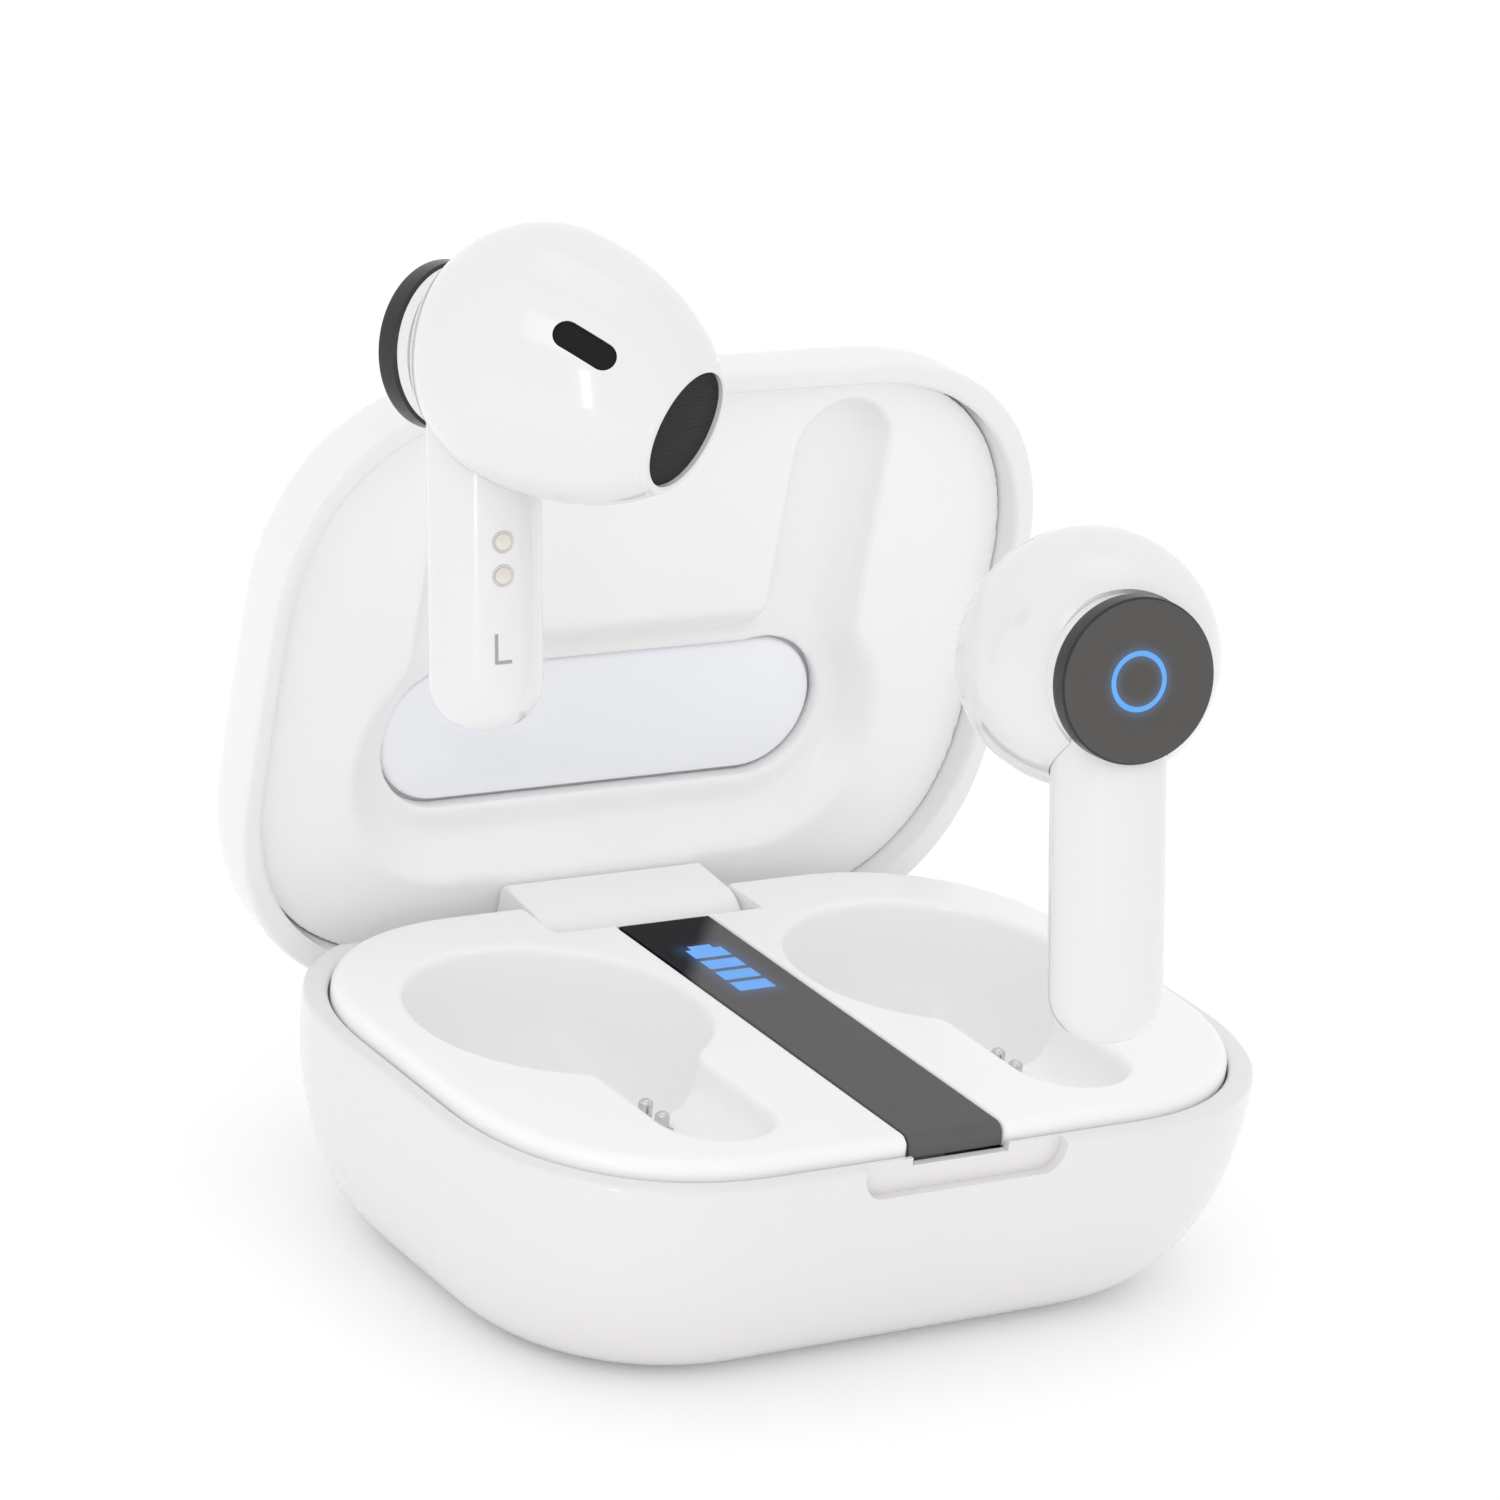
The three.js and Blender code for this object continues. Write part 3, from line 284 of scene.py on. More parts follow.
def cap_material():
    """Dark satin touch cap: black wall, warm grey face, and the light ring's glow on it."""
    material, tree, shader = new_material("touch_cap_satin")
    where = add(tree, "ShaderNodeTexCoord")
    parts = add(tree, "ShaderNodeSeparateXYZ")
    link(tree, where.outputs["Object"], parts.inputs[0])
    face = math_node(tree, "GREATER_THAN", parts.outputs["Z"], (CAP_THICKNESS - 0.02) * MM)
    cloud = tinted(tree, noise(tree, 500), (0.068, 0.065, 0.062), (0.08, 0.077, 0.073))
    mixed = add(tree, "ShaderNodeMix", data_type="RGBA")
    link(tree, face, mixed.inputs["Factor"])
    mixed.inputs["A"].default_value = (0.022, 0.021, 0.026, 1)
    link(tree, cloud, mixed.inputs["B"])
    link(tree, mixed.outputs["Result"], shader.inputs["Base Color"])
    link(tree, ramp(tree, noise(tree, 3000), 0.24, 0.36), shader.inputs["Roughness"])
    shader.inputs["Specular IOR Level"].default_value = 0.35
    across = math_node(tree, "POWER", parts.outputs["X"], 2.0)
    along = math_node(tree, "POWER", parts.outputs["Y"], 2.0)
    radius = math_node(tree, "SQRT", math_node(tree, "ADD", across, along))
    off_ring = math_node(tree, "ABSOLUTE", math_node(tree, "SUBTRACT", radius, RING_RADIUS * MM))
    glow = glow_mask(tree, off_ring, 0.9 * MM)
    link(tree, math_node(tree, "MULTIPLY", math_node(tree, "MULTIPLY", glow, face), 0.4),
         shader.inputs["Emission Strength"])
    shader.inputs["Emission Color"].default_value = (0.05, 0.22, 0.55, 1)
    bump(tree, shader, noise(tree, 4000), 0.05, 0.00002)
    return material


def lens_material():
    """Polished smoked lens: a painted reflection makes it grey in front and black behind a slanting edge,
    and a painted glow lies round the level lights.
    """
    material, tree, shader = new_material("smoked_lens")
    where = add(tree, "ShaderNodeTexCoord")
    parts = add(tree, "ShaderNodeSeparateXYZ")
    link(tree, where.outputs["Object"], parts.inputs[0])
    # Painted reflection: the lens colour turns from grey in front to black behind a slanting edge.
    painted_reflection_span = add(tree, "ShaderNodeMapRange", interpolation_type="SMOOTHSTEP")
    reflection_slant = math_node(tree, "MULTIPLY", parts.outputs["X"], -1.2)
    link(tree, math_node(tree, "ADD", parts.outputs["Y"], reflection_slant), painted_reflection_span.inputs["Value"])
    painted_reflection_span.inputs["From Min"].default_value = 9 * MM
    painted_reflection_span.inputs["From Max"].default_value = 12 * MM
    cloud = math_node(tree, "MULTIPLY", noise(tree, 400), 0.06)
    share = math_node(tree, "ADD", painted_reflection_span.outputs["Result"], cloud, clamp=True)
    shade = tinted(tree, share, (0.122, 0.121, 0.122), (0.006, 0.006, 0.007))
    link(tree, shade, shader.inputs["Base Color"])
    link(tree, ramp(tree, noise(tree, 1500), 0.16, 0.24), shader.inputs["Roughness"])
    shader.inputs["IOR"].default_value = 1.09
    # Painted glow: the lens gives off blue light round the level lights, though it is no lamp.
    side = math_node(tree, "ABSOLUTE", parts.outputs["X"])
    side = math_node(tree, "MAXIMUM", math_node(tree, "SUBTRACT", side, 1.3 * MM), 0.0)
    depth = math_node(tree, "ABSOLUTE", math_node(tree, "SUBTRACT", parts.outputs["Y"], LIGHT_MIDDLE * MM))
    depth = math_node(tree, "MAXIMUM", math_node(tree, "SUBTRACT", depth, 3.5 * MM), 0.0)
    away = math_node(tree, "SQRT", math_node(tree, "ADD", math_node(tree, "POWER", side, 2.0),
                                             math_node(tree, "POWER", depth, 2.0)))
    link(tree, math_node(tree, "MULTIPLY", glow_mask(tree, away, 1.8 * MM), 0.16),
         shader.inputs["Emission Strength"])
    shader.inputs["Emission Color"].default_value = (0.08, 0.32, 0.85, 1)
    return material


GLOSS_WHITE = plastic("gloss_white_plastic", (0.785, 0.77, 0.778), 0.2, coat=0.35)
# Painted light: the lid shell uses the base's gloss white made lighter, a lit copy of the same plastic.
LIT_LID_WHITE = plastic("lid_white_plastic_painted_lighter", (0.845, 0.84, 0.845), 0.2, coat=0.35)
# Satin white is set light and carries a painted glow (lift) that brightens the deck, liner and hinge parts
# in their shaded hollows.
SATIN_WHITE = plastic("satin_white_plastic", (0.87, 0.865, 0.868), 0.3, coat=0.15, lift=0.055)
BUD_WHITE = plastic("earbud_white_plastic", (0.79, 0.783, 0.79), 0.16, coat=0.5)
# The pale inlay carries a painted glow (lift), an emission that brightens it in the liner's shaded recess.
PALE_INLAY = plastic("pale_inlay_plastic", (0.84, 0.85, 0.885), 0.25, coat=0.3, lift=0.09)
BLACK_PLASTIC = plastic("black_plastic", (0.02, 0.02, 0.022), 0.4)
MARK_GREY = plastic("mark_grey", (0.36, 0.36, 0.36), 0.5)
STEEL = metal("bare_steel", (0.66, 0.66, 0.67), 0.22)
GOLD = metal("contact_plating", (0.82, 0.79, 0.72), 0.24)
CAP_SATIN = cap_material()
LENS = lens_material()
RING_LIGHT = light_material("ring_light", (0.14, 0.40, 0.86), 0.95)
LEVEL_LIGHT = light_material("level_light", (0.13, 0.37, 0.86), 0.9)
GRILLE = grille("fine_grille", 0.16)
BOARD = plastic("board_mask", (0.02, 0.13, 0.06), 0.35)
FOIL = metal("cell_foil", (0.5, 0.51, 0.53), 0.4)
CONTACT_RIM = plastic("contact_rim_plastic", (0.62, 0.6, 0.58), 0.3)


# ---- Mesh building ----------------------------------------------------------------
def piece(name, points, faces, material, body, slot, stands_for=(), place=None, sharp=35):
    """Makes a smooth-shaded mesh from points in millimetres and gives it to a CAD body."""
    mesh = bpy.data.meshes.new(name)
    mesh.from_pydata((np.asarray(points, float) * MM).tolist(), [], [list(face) for face in faces])
    mesh.validate()
    built = bpy.data.objects.new(name, mesh)
    bpy.context.scene.collection.objects.link(built)
    mesh.materials.append(material)
    face_outward(mesh)
    smooth(mesh, sharp)
    if place is not None and material in (CAP_SATIN, GRILLE):
        built.matrix_world = place
    elif place is not None:
        mesh.transform(place)
    if body:
        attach(built, body)
    if stands_for:
        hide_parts(*stands_for)
    return built


def face_outward(mesh):
    work = bmesh.new()
    work.from_mesh(mesh)
    bmesh.ops.recalc_face_normals(work, faces=work.faces)
    work.to_mesh(mesh)
    work.free()


def smooth(mesh, sharp):
    mesh.polygons.foreach_set("use_smooth", [True] * len(mesh.polygons))
    mesh.set_sharp_from_angle(angle=math.radians(sharp))


def cut(target, cutters, sharp=35, folded=False):
    """Takes closed cutter meshes out of a piece and removes them."""
    for cutter in cutters:
        modifier = target.modifiers.new("cut", "BOOLEAN")
        modifier.operation = "DIFFERENCE"
        modifier.solver = "EXACT"
        modifier.use_self = folded
        modifier.object = cutter
    depsgraph = bpy.context.evaluated_depsgraph_get()
    baked = bpy.data.meshes.new_from_object(target.evaluated_get(depsgraph))
    target.modifiers.clear()
    target.data = baked
    for cutter in cutters:
        bpy.data.objects.remove(cutter)
    smooth(baked, sharp)


def cutter(points, faces, place=None):
    return piece("cutter", points, faces, BLACK_PLASTIC, None, None, place=place)


def soften(target, width, segments=2, angle=30):
    """Rounds the sharp edges of a piece by a small bevel, in millimetres."""
    modifier = target.modifiers.new("soften", "BEVEL")
    modifier.width = width * MM
    modifier.segments = segments
    modifier.limit_method = "ANGLE"
    modifier.angle_limit = math.radians(angle)


def stack(rings):
    """Faces that join rings of equally many points, with a flat cap on both ends."""
    count = len(rings[0])
    faces = [tuple(range(count))[::-1]]
    for level, step in itertools.product(range(len(rings) - 1), range(count)):
        low = level * count
        turn = (step + 1) % count
        faces.append((low + step, low + turn, low + count + turn, low + count + step))
    last = (len(rings) - 1) * count
    faces.append(tuple(range(last, last + count)))
    return np.concatenate(rings), faces


def case_ring(inset, z):
    """The case outline pulled in by an inset, at height z."""
    radius = max(CORNER_RADIUS - 0.6 * inset, 4)
    half = np.array([CASE_WIDTH / 2 - inset - radius, CASE_DEPTH / 2 - inset - radius])
    turns = np.linspace(0, math.pi / 2, CORNER_STEPS + 1)
    power = 2 / CORNER_POWER
    arc = np.stack([np.abs(np.cos(turns)) ** power, np.abs(np.sin(turns)) ** power], 1) * radius + half
    signs = ((1, 1), (-1, 1), (-1, -1), (1, -1))
    corners = [arc[:: 1 if index % 2 == 0 else -1] * sign for index, sign in enumerate(signs)]
    flat = np.concatenate(corners)
    return np.column_stack([flat, np.full(len(flat), z)])


def tuck_in(tuck, share, power):
    return tuck * (1 - max(0.0, 1 - share**power) ** (1 / power))


def rounded_rim(rim_z, direction, start, end, radius, steps=5):
    """Rings over a rim from one inset to another; direction is +1 for a rim that faces up."""
    rings = []
    for step in range(steps + 1):
        turn = step / steps * math.pi / 2
        rings.append(case_ring(start + radius * (1 - math.cos(turn)),
                               rim_z - direction * radius * (1 - math.sin(turn))))
    for step in range(steps + 1):
        turn = math.pi / 2 - step / steps * math.pi / 2
        rings.append(case_ring(end - radius * (1 - math.cos(turn)),
                               rim_z - direction * radius * (1 - math.sin(turn))))
    return rings


def shell_rings(rim_z, end_z, tuck, power, levels):
    """Rings up the outside of a case half, over its rim and down the inside."""
    direction = 1 if rim_z > end_z else -1
    shares = [math.sin(level / levels * math.pi / 2) for level in range(levels, 0, -1)]
    height = end_z - rim_z
    outside = [case_ring(tuck_in(tuck, share, power), rim_z + height * share)
               for share in shares if abs(height * share) > RIM_ROUND]
    rim = rounded_rim(rim_z, direction, 0, WALL, RIM_ROUND)
    inner_height = height + direction * WALL
    inside = [case_ring(WALL + tuck_in(tuck, share, power), rim_z + inner_height * share)
              for share in reversed(shares) if abs(inner_height * share) > RIM_ROUND]
    return outside + rim + inside


def opened(points):
    """Turns points of the closed lid about the hinge to where the lid stands open."""
    points = np.array(points, float)
    y = points[:, 1] - HINGE[1]
    z = points[:, 2] - HINGE[2]
    cosine, sine = math.cos(OPEN_ANGLE), math.sin(OPEN_ANGLE)
    points[:, 1] = HINGE[1] + y * cosine + z * sine
    points[:, 2] = HINGE[2] - y * sine + z * cosine
    return points


def prism(outline, low, high, axis):
    """A bar with a given outline, running along x or y between two places."""
    outline = np.array(outline, float)
    rings = []
    for place in (low, high):
        fixed = np.full(len(outline), place)
        first, second = outline.T
        columns = (fixed, first, second) if axis == "x" else (first, fixed, second)
        rings.append(np.column_stack(columns))
    return stack(rings)


def rectangle(low, high):
    return [(low[0], low[1]), (high[0], low[1]), (high[0], high[1]), (low[0], high[1])]


# ---- Shapes worked out as distance fields ------------------------------------------
def round_max(first, second, radius):
    """Overlap of two fields with a rounded edge."""
    out = np.hypot(np.maximum(radius + first, 0), np.maximum(radius + second, 0))
    return np.minimum(-radius, np.maximum(first, second)) + out


def round_min(first, second, radius):
    return -round_max(-first, -second, radius)


def case_field(x, y, inset):
    radius = CORNER_RADIUS - 0.6 * inset
    across = np.abs(x) - (CASE_WIDTH / 2 - inset - radius)
    along = np.abs(y) - (CASE_DEPTH / 2 - inset - radius)
    corner = np.maximum(across, 0) ** CORNER_POWER + np.maximum(along, 0) ** CORNER_POWER
    return corner ** (1 / CORNER_POWER) + np.minimum(np.maximum(across, along), 0) - radius


def capsule_field(x, y, start, end, half):
    """Distance to a capsule between two points, for runs along x or along y."""
    near_x = np.clip(x, start[0], end[0])
    near_y = np.clip(y, start[1], end[1])
    return np.hypot(x - near_x, y - near_y) - half


def box_field(x, y, z, low, high):
    gaps = [np.maximum(low[axis] - value, value - high[axis]) for axis, value in enumerate((x, y, z))]
    return np.maximum(np.maximum(gaps[0], gaps[1]), gaps[2])


def grid(low, high, step):
    axes = [np.arange(low[axis], high[axis] + step, step) for axis in range(3)]
    return np.meshgrid(*axes, indexing="ij")


def surface(field, low, step):
    """Quads over the zero level of a field, one point in each cell that it crosses."""
    inside = field < 0
    shape = np.array(inside.shape) - 1
    corners = list(itertools.product((0, 1), repeat=3))
    shifted = [inside[a:a + shape[0], b:b + shape[1], c:c + shape[2]] for a, b, c in corners]
    filled = sum(block.astype(np.uint8) for block in shifted)
    crossed = (filled > 0) & (filled < 8)
    cells = np.argwhere(crossed)
    number = np.full(crossed.shape, -1)
    number[crossed] = np.arange(len(cells))
    total = np.zeros((len(cells), 3))
    hits = np.zeros(len(cells))
    for axis in range(3):
        unit = np.eye(3, dtype=int)[axis]
        for corner in corners:
            if corner[axis]:
                continue
            start = field[tuple((cells + corner).T)]
            end = field[tuple((cells + corner + unit).T)]
            hit = (start < 0) != (end < 0)
            share = np.where(hit, start / np.where(hit, start - end, 1), 0)
            total[hit] += (np.array(corner) + share[:, None] * unit)[hit]
            hits += hit
    points = np.array(low) + (cells + total / hits[:, None]) * step
    return points, net_faces(inside, number)


def net_faces(inside, number):
    """One quad round each grid edge that passes through the surface."""
    faces = []
    for axis in range(3):
        one, two = np.eye(3, dtype=int)[(axis + 1) % 3], np.eye(3, dtype=int)[(axis + 2) % 3]
        ahead = np.roll(inside, -1, axis)
        edges = np.argwhere(inside != ahead)
        edges = edges[(edges[:, axis] < inside.shape[axis] - 1)]
        edges = edges[(edges - one >= 0).all(1) & (edges - two >= 0).all(1)]
        edges = edges[(edges < np.array(number.shape)).all(1)]
        quad = [number[tuple((edges - shift).T)] for shift in ((0, 0, 0), one, one + two, two)]
        quad = np.stack(quad, 1)
        outward = inside[tuple(edges.T)]
        quad = np.where(outward[:, None], quad, quad[:, ::-1])
        faces.append(quad[(quad >= 0).all(1)])
    return np.concatenate(faces)


# ---- Base -------------------------------------------------------------------------
def build_base_shell():
    points, faces = stack(shell_rings(RIM_Z, 0, BASE_TUCK, BASE_POWER, 26))
    y = points[:, 1] - HINGE[1]
    z = points[:, 2] - HINGE[2]
    reach = np.hypot(y, z)
    past = (y > 0) & (z > 0) & (reach > REAR_ROUND)
    scale = np.where(past, REAR_ROUND / np.maximum(reach, 1e-6), 1)
    points[:, 1] = HINGE[1] + y * scale
    points[:, 2] = HINGE[2] + z * scale
    shell = piece("base_shell_smooth", points, faces, GLOSS_WHITE, "case_base", "gloss_white",
                  ["base_shell"])
    front = -CASE_DEPTH / 2
    lug_bay = rectangle((-11.7, HINGE[2] - 1.9), (11.7, RIM_Z + 1))
    socket_mouth = capsule_outline(4.75, 1.9, middle_mm("charging_socket")[2])
    cut(shell, [
        cutter(*prism(notch_outline(8, 6.4, RIM_Z - 2.2, RIM_Z + 1), front - 1, front + 0.9, "y")),
        cutter(*prism(rectangle((-LENS_HALF - SEAM, lens_low[2] - SEAM), (LENS_HALF + SEAM, RIM_Z + 1)),
                      front - 1, front + WALL + 1, "y")),
        cutter(*prism(rectangle((-LEAF_HALF - GAP, HINGE[2] - 2.7), (LEAF_HALF + GAP, RIM_Z + 1)),
                      LEAF_FRONT_Y, CASE_DEPTH / 2 + 1, "y")),
        cutter(*prism(lug_bay, LEAF_FRONT_Y, HINGE[1] + 1.9, "y")),
        cutter(*prism(socket_mouth, 14.5, CASE_DEPTH / 2 + 1, "y")),
    ], folded=True)
    return shell


def notch_outline(half_top, half_bottom, bottom, top, radius=1.4, steps=6):
    """A shallow scoop outline with rounded lower corners."""
    right = [(half_top, top), (half_top, bottom + radius + 0.3)]
    for step in range(1, steps + 1):
        turn = step / steps * math.pi / 2
        right.append((half_bottom + (half_top - half_bottom) * math.cos(turn),
                      bottom + (radius + 0.3) * (1 - math.sin(turn))))
    return right + [(-x, z) for x, z in reversed(right)]


def capsule_outline(half_length, half_width, z, steps=12):
    straight = half_length - half_width
    outline = []
    for side in (1, -1):
        for step in range(steps + 1):
            turn = (step / steps - 0.5) * math.pi + (math.pi if side < 0 else 0)
            outline.append((side * straight + half_width * math.cos(turn), z + half_width * math.sin(turn)))
    return outline


def pocket_field(side_x, y, z, grow):
    """Bowl for the head and slot for the stem, run together."""
    out = np.hypot(side_x - BOWL_X, y - BOWL_Y) / (BOWL_RADIUS + grow)
    down = np.maximum(DECK_TOP - z, 0) / (BOWL_DEPTH + grow)
    bowl = ((out**BOWL_POWER + down**BOWL_POWER) ** (1 / BOWL_POWER) - 1) * (BOWL_RADIUS + grow)
    front = SLOT_FRONT_Y + SLOT_HALF
    plan = capsule_field(side_x, y, (SLOT_X, front), (SLOT_X, BOWL_Y), SLOT_HALF + grow)
    slot = round_max(plan, SLOT_FLOOR - grow - z, 2.4)
    return round_min(bowl, slot, 0.9)


def build_deck(step=0.25):
    low = np.array([deck_low[0] - 1, deck_low[1] - 1, deck_low[2] - 1]) + 0.013
    x, y, z = grid(low, (deck_high[0] + 1, deck_high[1] + 1, DECK_TOP + 1), step)
    side_x = np.abs(x)
    plate = round_max(case_field(x, y, WALL + SEAM), z - DECK_TOP, DECK_EDGE)
    plate = np.maximum(plate, DECK_TOP - DECK_PLATE - z)
    wells = np.maximum(pocket_field(side_x, y, z, POCKET_WALL), z - DECK_TOP + POCKET_WALL)
    solid = round_max(np.minimum(plate, wells), -pocket_field(side_x, y, z, 0), 0.5)
    half = LENS_HALF + SEAM
    lens_floor = lens_high[2] - 0.8 - GAP
    channel = box_field(x, y, z, (-half, -CASE_DEPTH, lens_floor), (half, lens_high[1] + SEAM, CASE_WIDTH))
    lip = box_field(x, y, z, (-half, -CASE_DEPTH, 0), (half, lens_low[1] + 0.9, CASE_WIDTH))
    leaf_room = LEAF_HALF + GAP
    notch = box_field(x, y, z, (-leaf_room, LEAF_FRONT_Y - GAP, 0), (leaf_room, CASE_DEPTH, CASE_WIDTH))
    solid = round_max(solid, -np.minimum(channel, lip), 0.12)
    solid = round_max(solid, -notch, 0.25)
    for place in ("front", "rear"):
        pin = middle_mm(f"charge_pin_right_{place}")
        solid = round_max(solid, -(np.hypot(side_x - pin[0], y - pin[1]) - 0.72), 0.1)
    solid = np.maximum(solid, 1.6 - z)
    points, faces = surface(solid, low, step)
    return piece("deck_smooth", points, faces, SATIN_WHITE, "case_base", "satin_white", ["deck"], sharp=50)


def build_lens():
    """The lens with a rounded bend over the deck's front edge."""
    top, thick = lens_high[2], 0.8
    front, rear, foot = lens_low[1] - LENS_OVERHANG, lens_high[1], lens_low[2]
    bend = 0.9
    turns = [step / 8 * math.pi / 2 for step in range(9)]
    outer = [(front + bend - bend * math.sin(turn), top - bend + bend * math.cos(turn)) for turn in turns]
    outline = [(rear, top - thick), (rear, top), *outer, (front, foot), (front + 0.6, foot)]
    outline += [(front + 0.6, top - thick - 0.4), (front + 1, top - thick)]
    points, faces = prism(outline, -LENS_HALF, LENS_HALF, "x")
    lens = piece("status_lens_smooth", points, faces, LENS, "case_base", "black_gloss", ["status_lens"])
    soften(lens, 0.08, 2, 60)
    return lens


def build_level_lights():
    """Four bars of light, level with the lens; the rearmost has a small terminal."""
    top = lens_high[2] - 0.04
    for index in range(1, 5):
        node = f"level_light_{index}"
        y = middle_mm(node)[1]
        rear, front = y + 0.7, y - 0.7
        outline = [(-1.45, front), (1.45, front), (1.45, rear), (-1.45, rear)]
        if index == 4:
            outline[3:3] = [(0.85, rear), (0.85, rear + 0.6), (-0.95, rear + 0.6), (-0.95, rear)]
        rings = [np.array([(px, py, z) for px, py in outline]) for z in (top, top + 0.05)]
        piece(f"{node}_bar", *stack(rings), LEVEL_LIGHT, "case_base", "blue_light", [node])


# ---- Hinge and lid ----------------------------------------------------------------
def build_hinge_leaf():
    top = LINER_Z - GAP - HINGE[2]
    back = CASE_DEPTH / 2 - WALL - GAP - HINGE[1]
    barrel, reach = 2.4, 3.6
    outline = [(-reach + 0.4, top)]
    outline.append((-reach, top - 0.4))
    for step in range(41):
        share = step / 40
        radius = barrel + (reach - barrel) * max(0, 1 - share * 2.5)
        turn = math.pi + share * (math.pi + math.acos(back / barrel))
        outline.append((radius * math.cos(turn), radius * math.sin(turn)))
    outline.append((back, top))
    outline = [(y + HINGE[1], z + HINGE[2]) for y, z in outline]
    points, faces = prism(outline, -LEAF_HALF, LEAF_HALF, "x")
    leaf = piece("hinge_leaf_smooth", opened(points), faces, SATIN_WHITE, "lid", "gloss_white",
                 ["hinge_leaf"])
    room = box_mm("hinge_spring")[1][2] - HINGE[2] + GAP / 2
    turns = np.linspace(0, 2 * math.pi, 41)[:-1]
    bore = [(HINGE[1] + room * math.cos(turn), HINGE[2] + room * math.sin(turn)) for turn in turns]
    cut(leaf, [cutter(*prism(bore, -LEAF_HALF - 1, LEAF_HALF + 1, "x"))])
    soften(leaf, 0.18, 3, 50)


def build_lid_shell():
    points, faces = stack(shell_rings(LID_RIM_Z, LID_TOP, LID_TUCK, LID_POWER, 30))
    piece("lid_shell_smooth", opened(points), faces, LIT_LID_WHITE, "lid", "gloss_white", ["lid_shell"])


def sloped_recess(x, y, z, grow):
    half_length, half_width = RECESS_HALF
    rise = np.clip((z - LINER_Z) / (LINER_TOP - 1.4 - LINER_Z), 0, 1.3)
    straight = half_length - half_width
    plan = capsule_field(x, y, (-straight, RECESS_Y), (straight, RECESS_Y), half_width + grow)
    return (plan + rise * RECESS_SLOPE) * 0.8


def build_lid_liner(step=0.25):
    low = np.array([-29.8, -21.3, LINER_Z - 0.9]) + 0.011
    x, y, z = grid(low, (29.8, 21.3, LINER_TOP + 0.8), step)
    side_x = np.abs(x)
    plate = np.maximum(case_field(x, y, WALL + SEAM), np.maximum(LINER_Z - z, z - LINER_Z - 1))
    groove_start = (SLOT_X, GROOVE_FRONT_Y + GROOVE_HALF)
    groove_plan = capsule_field(side_x, y, groove_start, (SLOT_X, RECESS_Y), GROOVE_HALF)
    groove = round_max(groove_plan, z - LINER_Z - GROOVE_DEPTH, 2.2)
    recess = round_max(sloped_recess(x, y, z, 0), z - LINER_TOP + 1.4, 0.5)
    oval_straight = OVAL_HALF[0] - OVAL_HALF[1]
    oval = capsule_field(x, y, (-oval_straight, OVAL_Y), (oval_straight, OVAL_Y), OVAL_HALF[1])
    well = np.maximum(sloped_recess(x, y, z, 1.6), np.maximum(LINER_Z + 0.5 - z, z - LINER_TOP))
    body = np.minimum(plate, well)
    ribs = np.maximum(groove_plan - 1.4, np.maximum(LINER_Z + 0.2 - z, z - LINER_Z - GROOVE_DEPTH - 1.2))
    body = np.minimum(body, ribs)
    share = np.clip((z - LID_RIM_Z) / (LID_HEIGHT - WALL), 0, 0.999)
    room = case_field(x, y, WALL + SEAM) + LID_TUCK * (1 - (1 - share**LID_POWER) ** (1 / LID_POWER))
    body = np.maximum(body, room)
    solid = round_max(body, -round_min(groove, recess, 0.8), 0.45)
    solid = round_max(solid, -oval, 0.2)
    points, faces = surface(solid, low, step)
    piece("lid_liner_smooth", opened(points), faces, SATIN_WHITE, "lid", "satin_white", ["lid_liner"],
          sharp=50)


def build_lid_inlay():
    half_length, half_width = OVAL_HALF[0] - GAP, OVAL_HALF[1] - GAP
    low, high = LINER_TOP - 0.7, LINER_TOP
    rings = []
    for inset, z in ((0.5, low), (0.2, low + 0.06), (0.06, low + 0.2), (0, low + 0.4), (0, high)):
        outline = capsule_outline(half_length - inset, half_width - inset, OVAL_Y, 24)
        rings.append(np.array([(x, y, z) for x, y in outline]))
    points, faces = stack(rings)
    piece("lid_inlay_smooth", opened(points), faces, PALE_INLAY, "lid", "pale_white", ["lid_inlay"])


# ---- Turned shapes ----------------------------------------------------------------
def turned(profile, sides=72):
    """A closed solid turned about z from (radius, z) points that start and end on the axis."""
    profile = np.array(profile, float)
    inner = profile[1:-1]
    angles = np.arange(sides) / sides * 2 * math.pi
    rings = [np.column_stack([r * np.cos(angles), r * np.sin(angles), np.full(sides, z)])
             for r, z in inner]
    points = np.concatenate(rings + [[[0, 0, profile[0][1]], [0, 0, profile[-1][1]]]])
    faces = []
    for level, step in itertools.product(range(len(rings) - 1), range(sides)):
        low, turn = level * sides, (step + 1) % sides
        faces.append((low + step, low + turn, low + sides + turn, low + sides + step))
    first, last, end = len(points) - 2, len(points) - 1, (len(rings) - 1) * sides
    for step in range(sides):
        turn = (step + 1) % sides
        faces.append((first, turn, step))
        faces.append((last, end + step, end + turn))
    return points, faces


def loop_turned(profile, sides=72):
    """A closed ring turned about z from a closed (radius, z) outline."""
    angles = np.arange(sides) / sides * 2 * math.pi
    rings = [np.column_stack([r * np.cos(angles), r * np.sin(angles), np.full(sides, z)])
             for r, z in profile]
    count = len(rings)
    faces = []
    for level, step in itertools.product(range(count), range(sides)):
        low, high, turn = level * sides, (level + 1) % count * sides, (step + 1) % sides
        faces.append((low + step, low + turn, high + turn, high + step))
    return np.concatenate(rings), faces


def axis_place(start, direction):
    """Frame with z along a direction, at a start point, both in the parent frame."""
    turn = Vector((0, 0, 1)).rotation_difference(Vector(direction).normalized())
    return Matrix.Translation(Vector(start) * MM) @ turn.to_matrix().to_4x4()


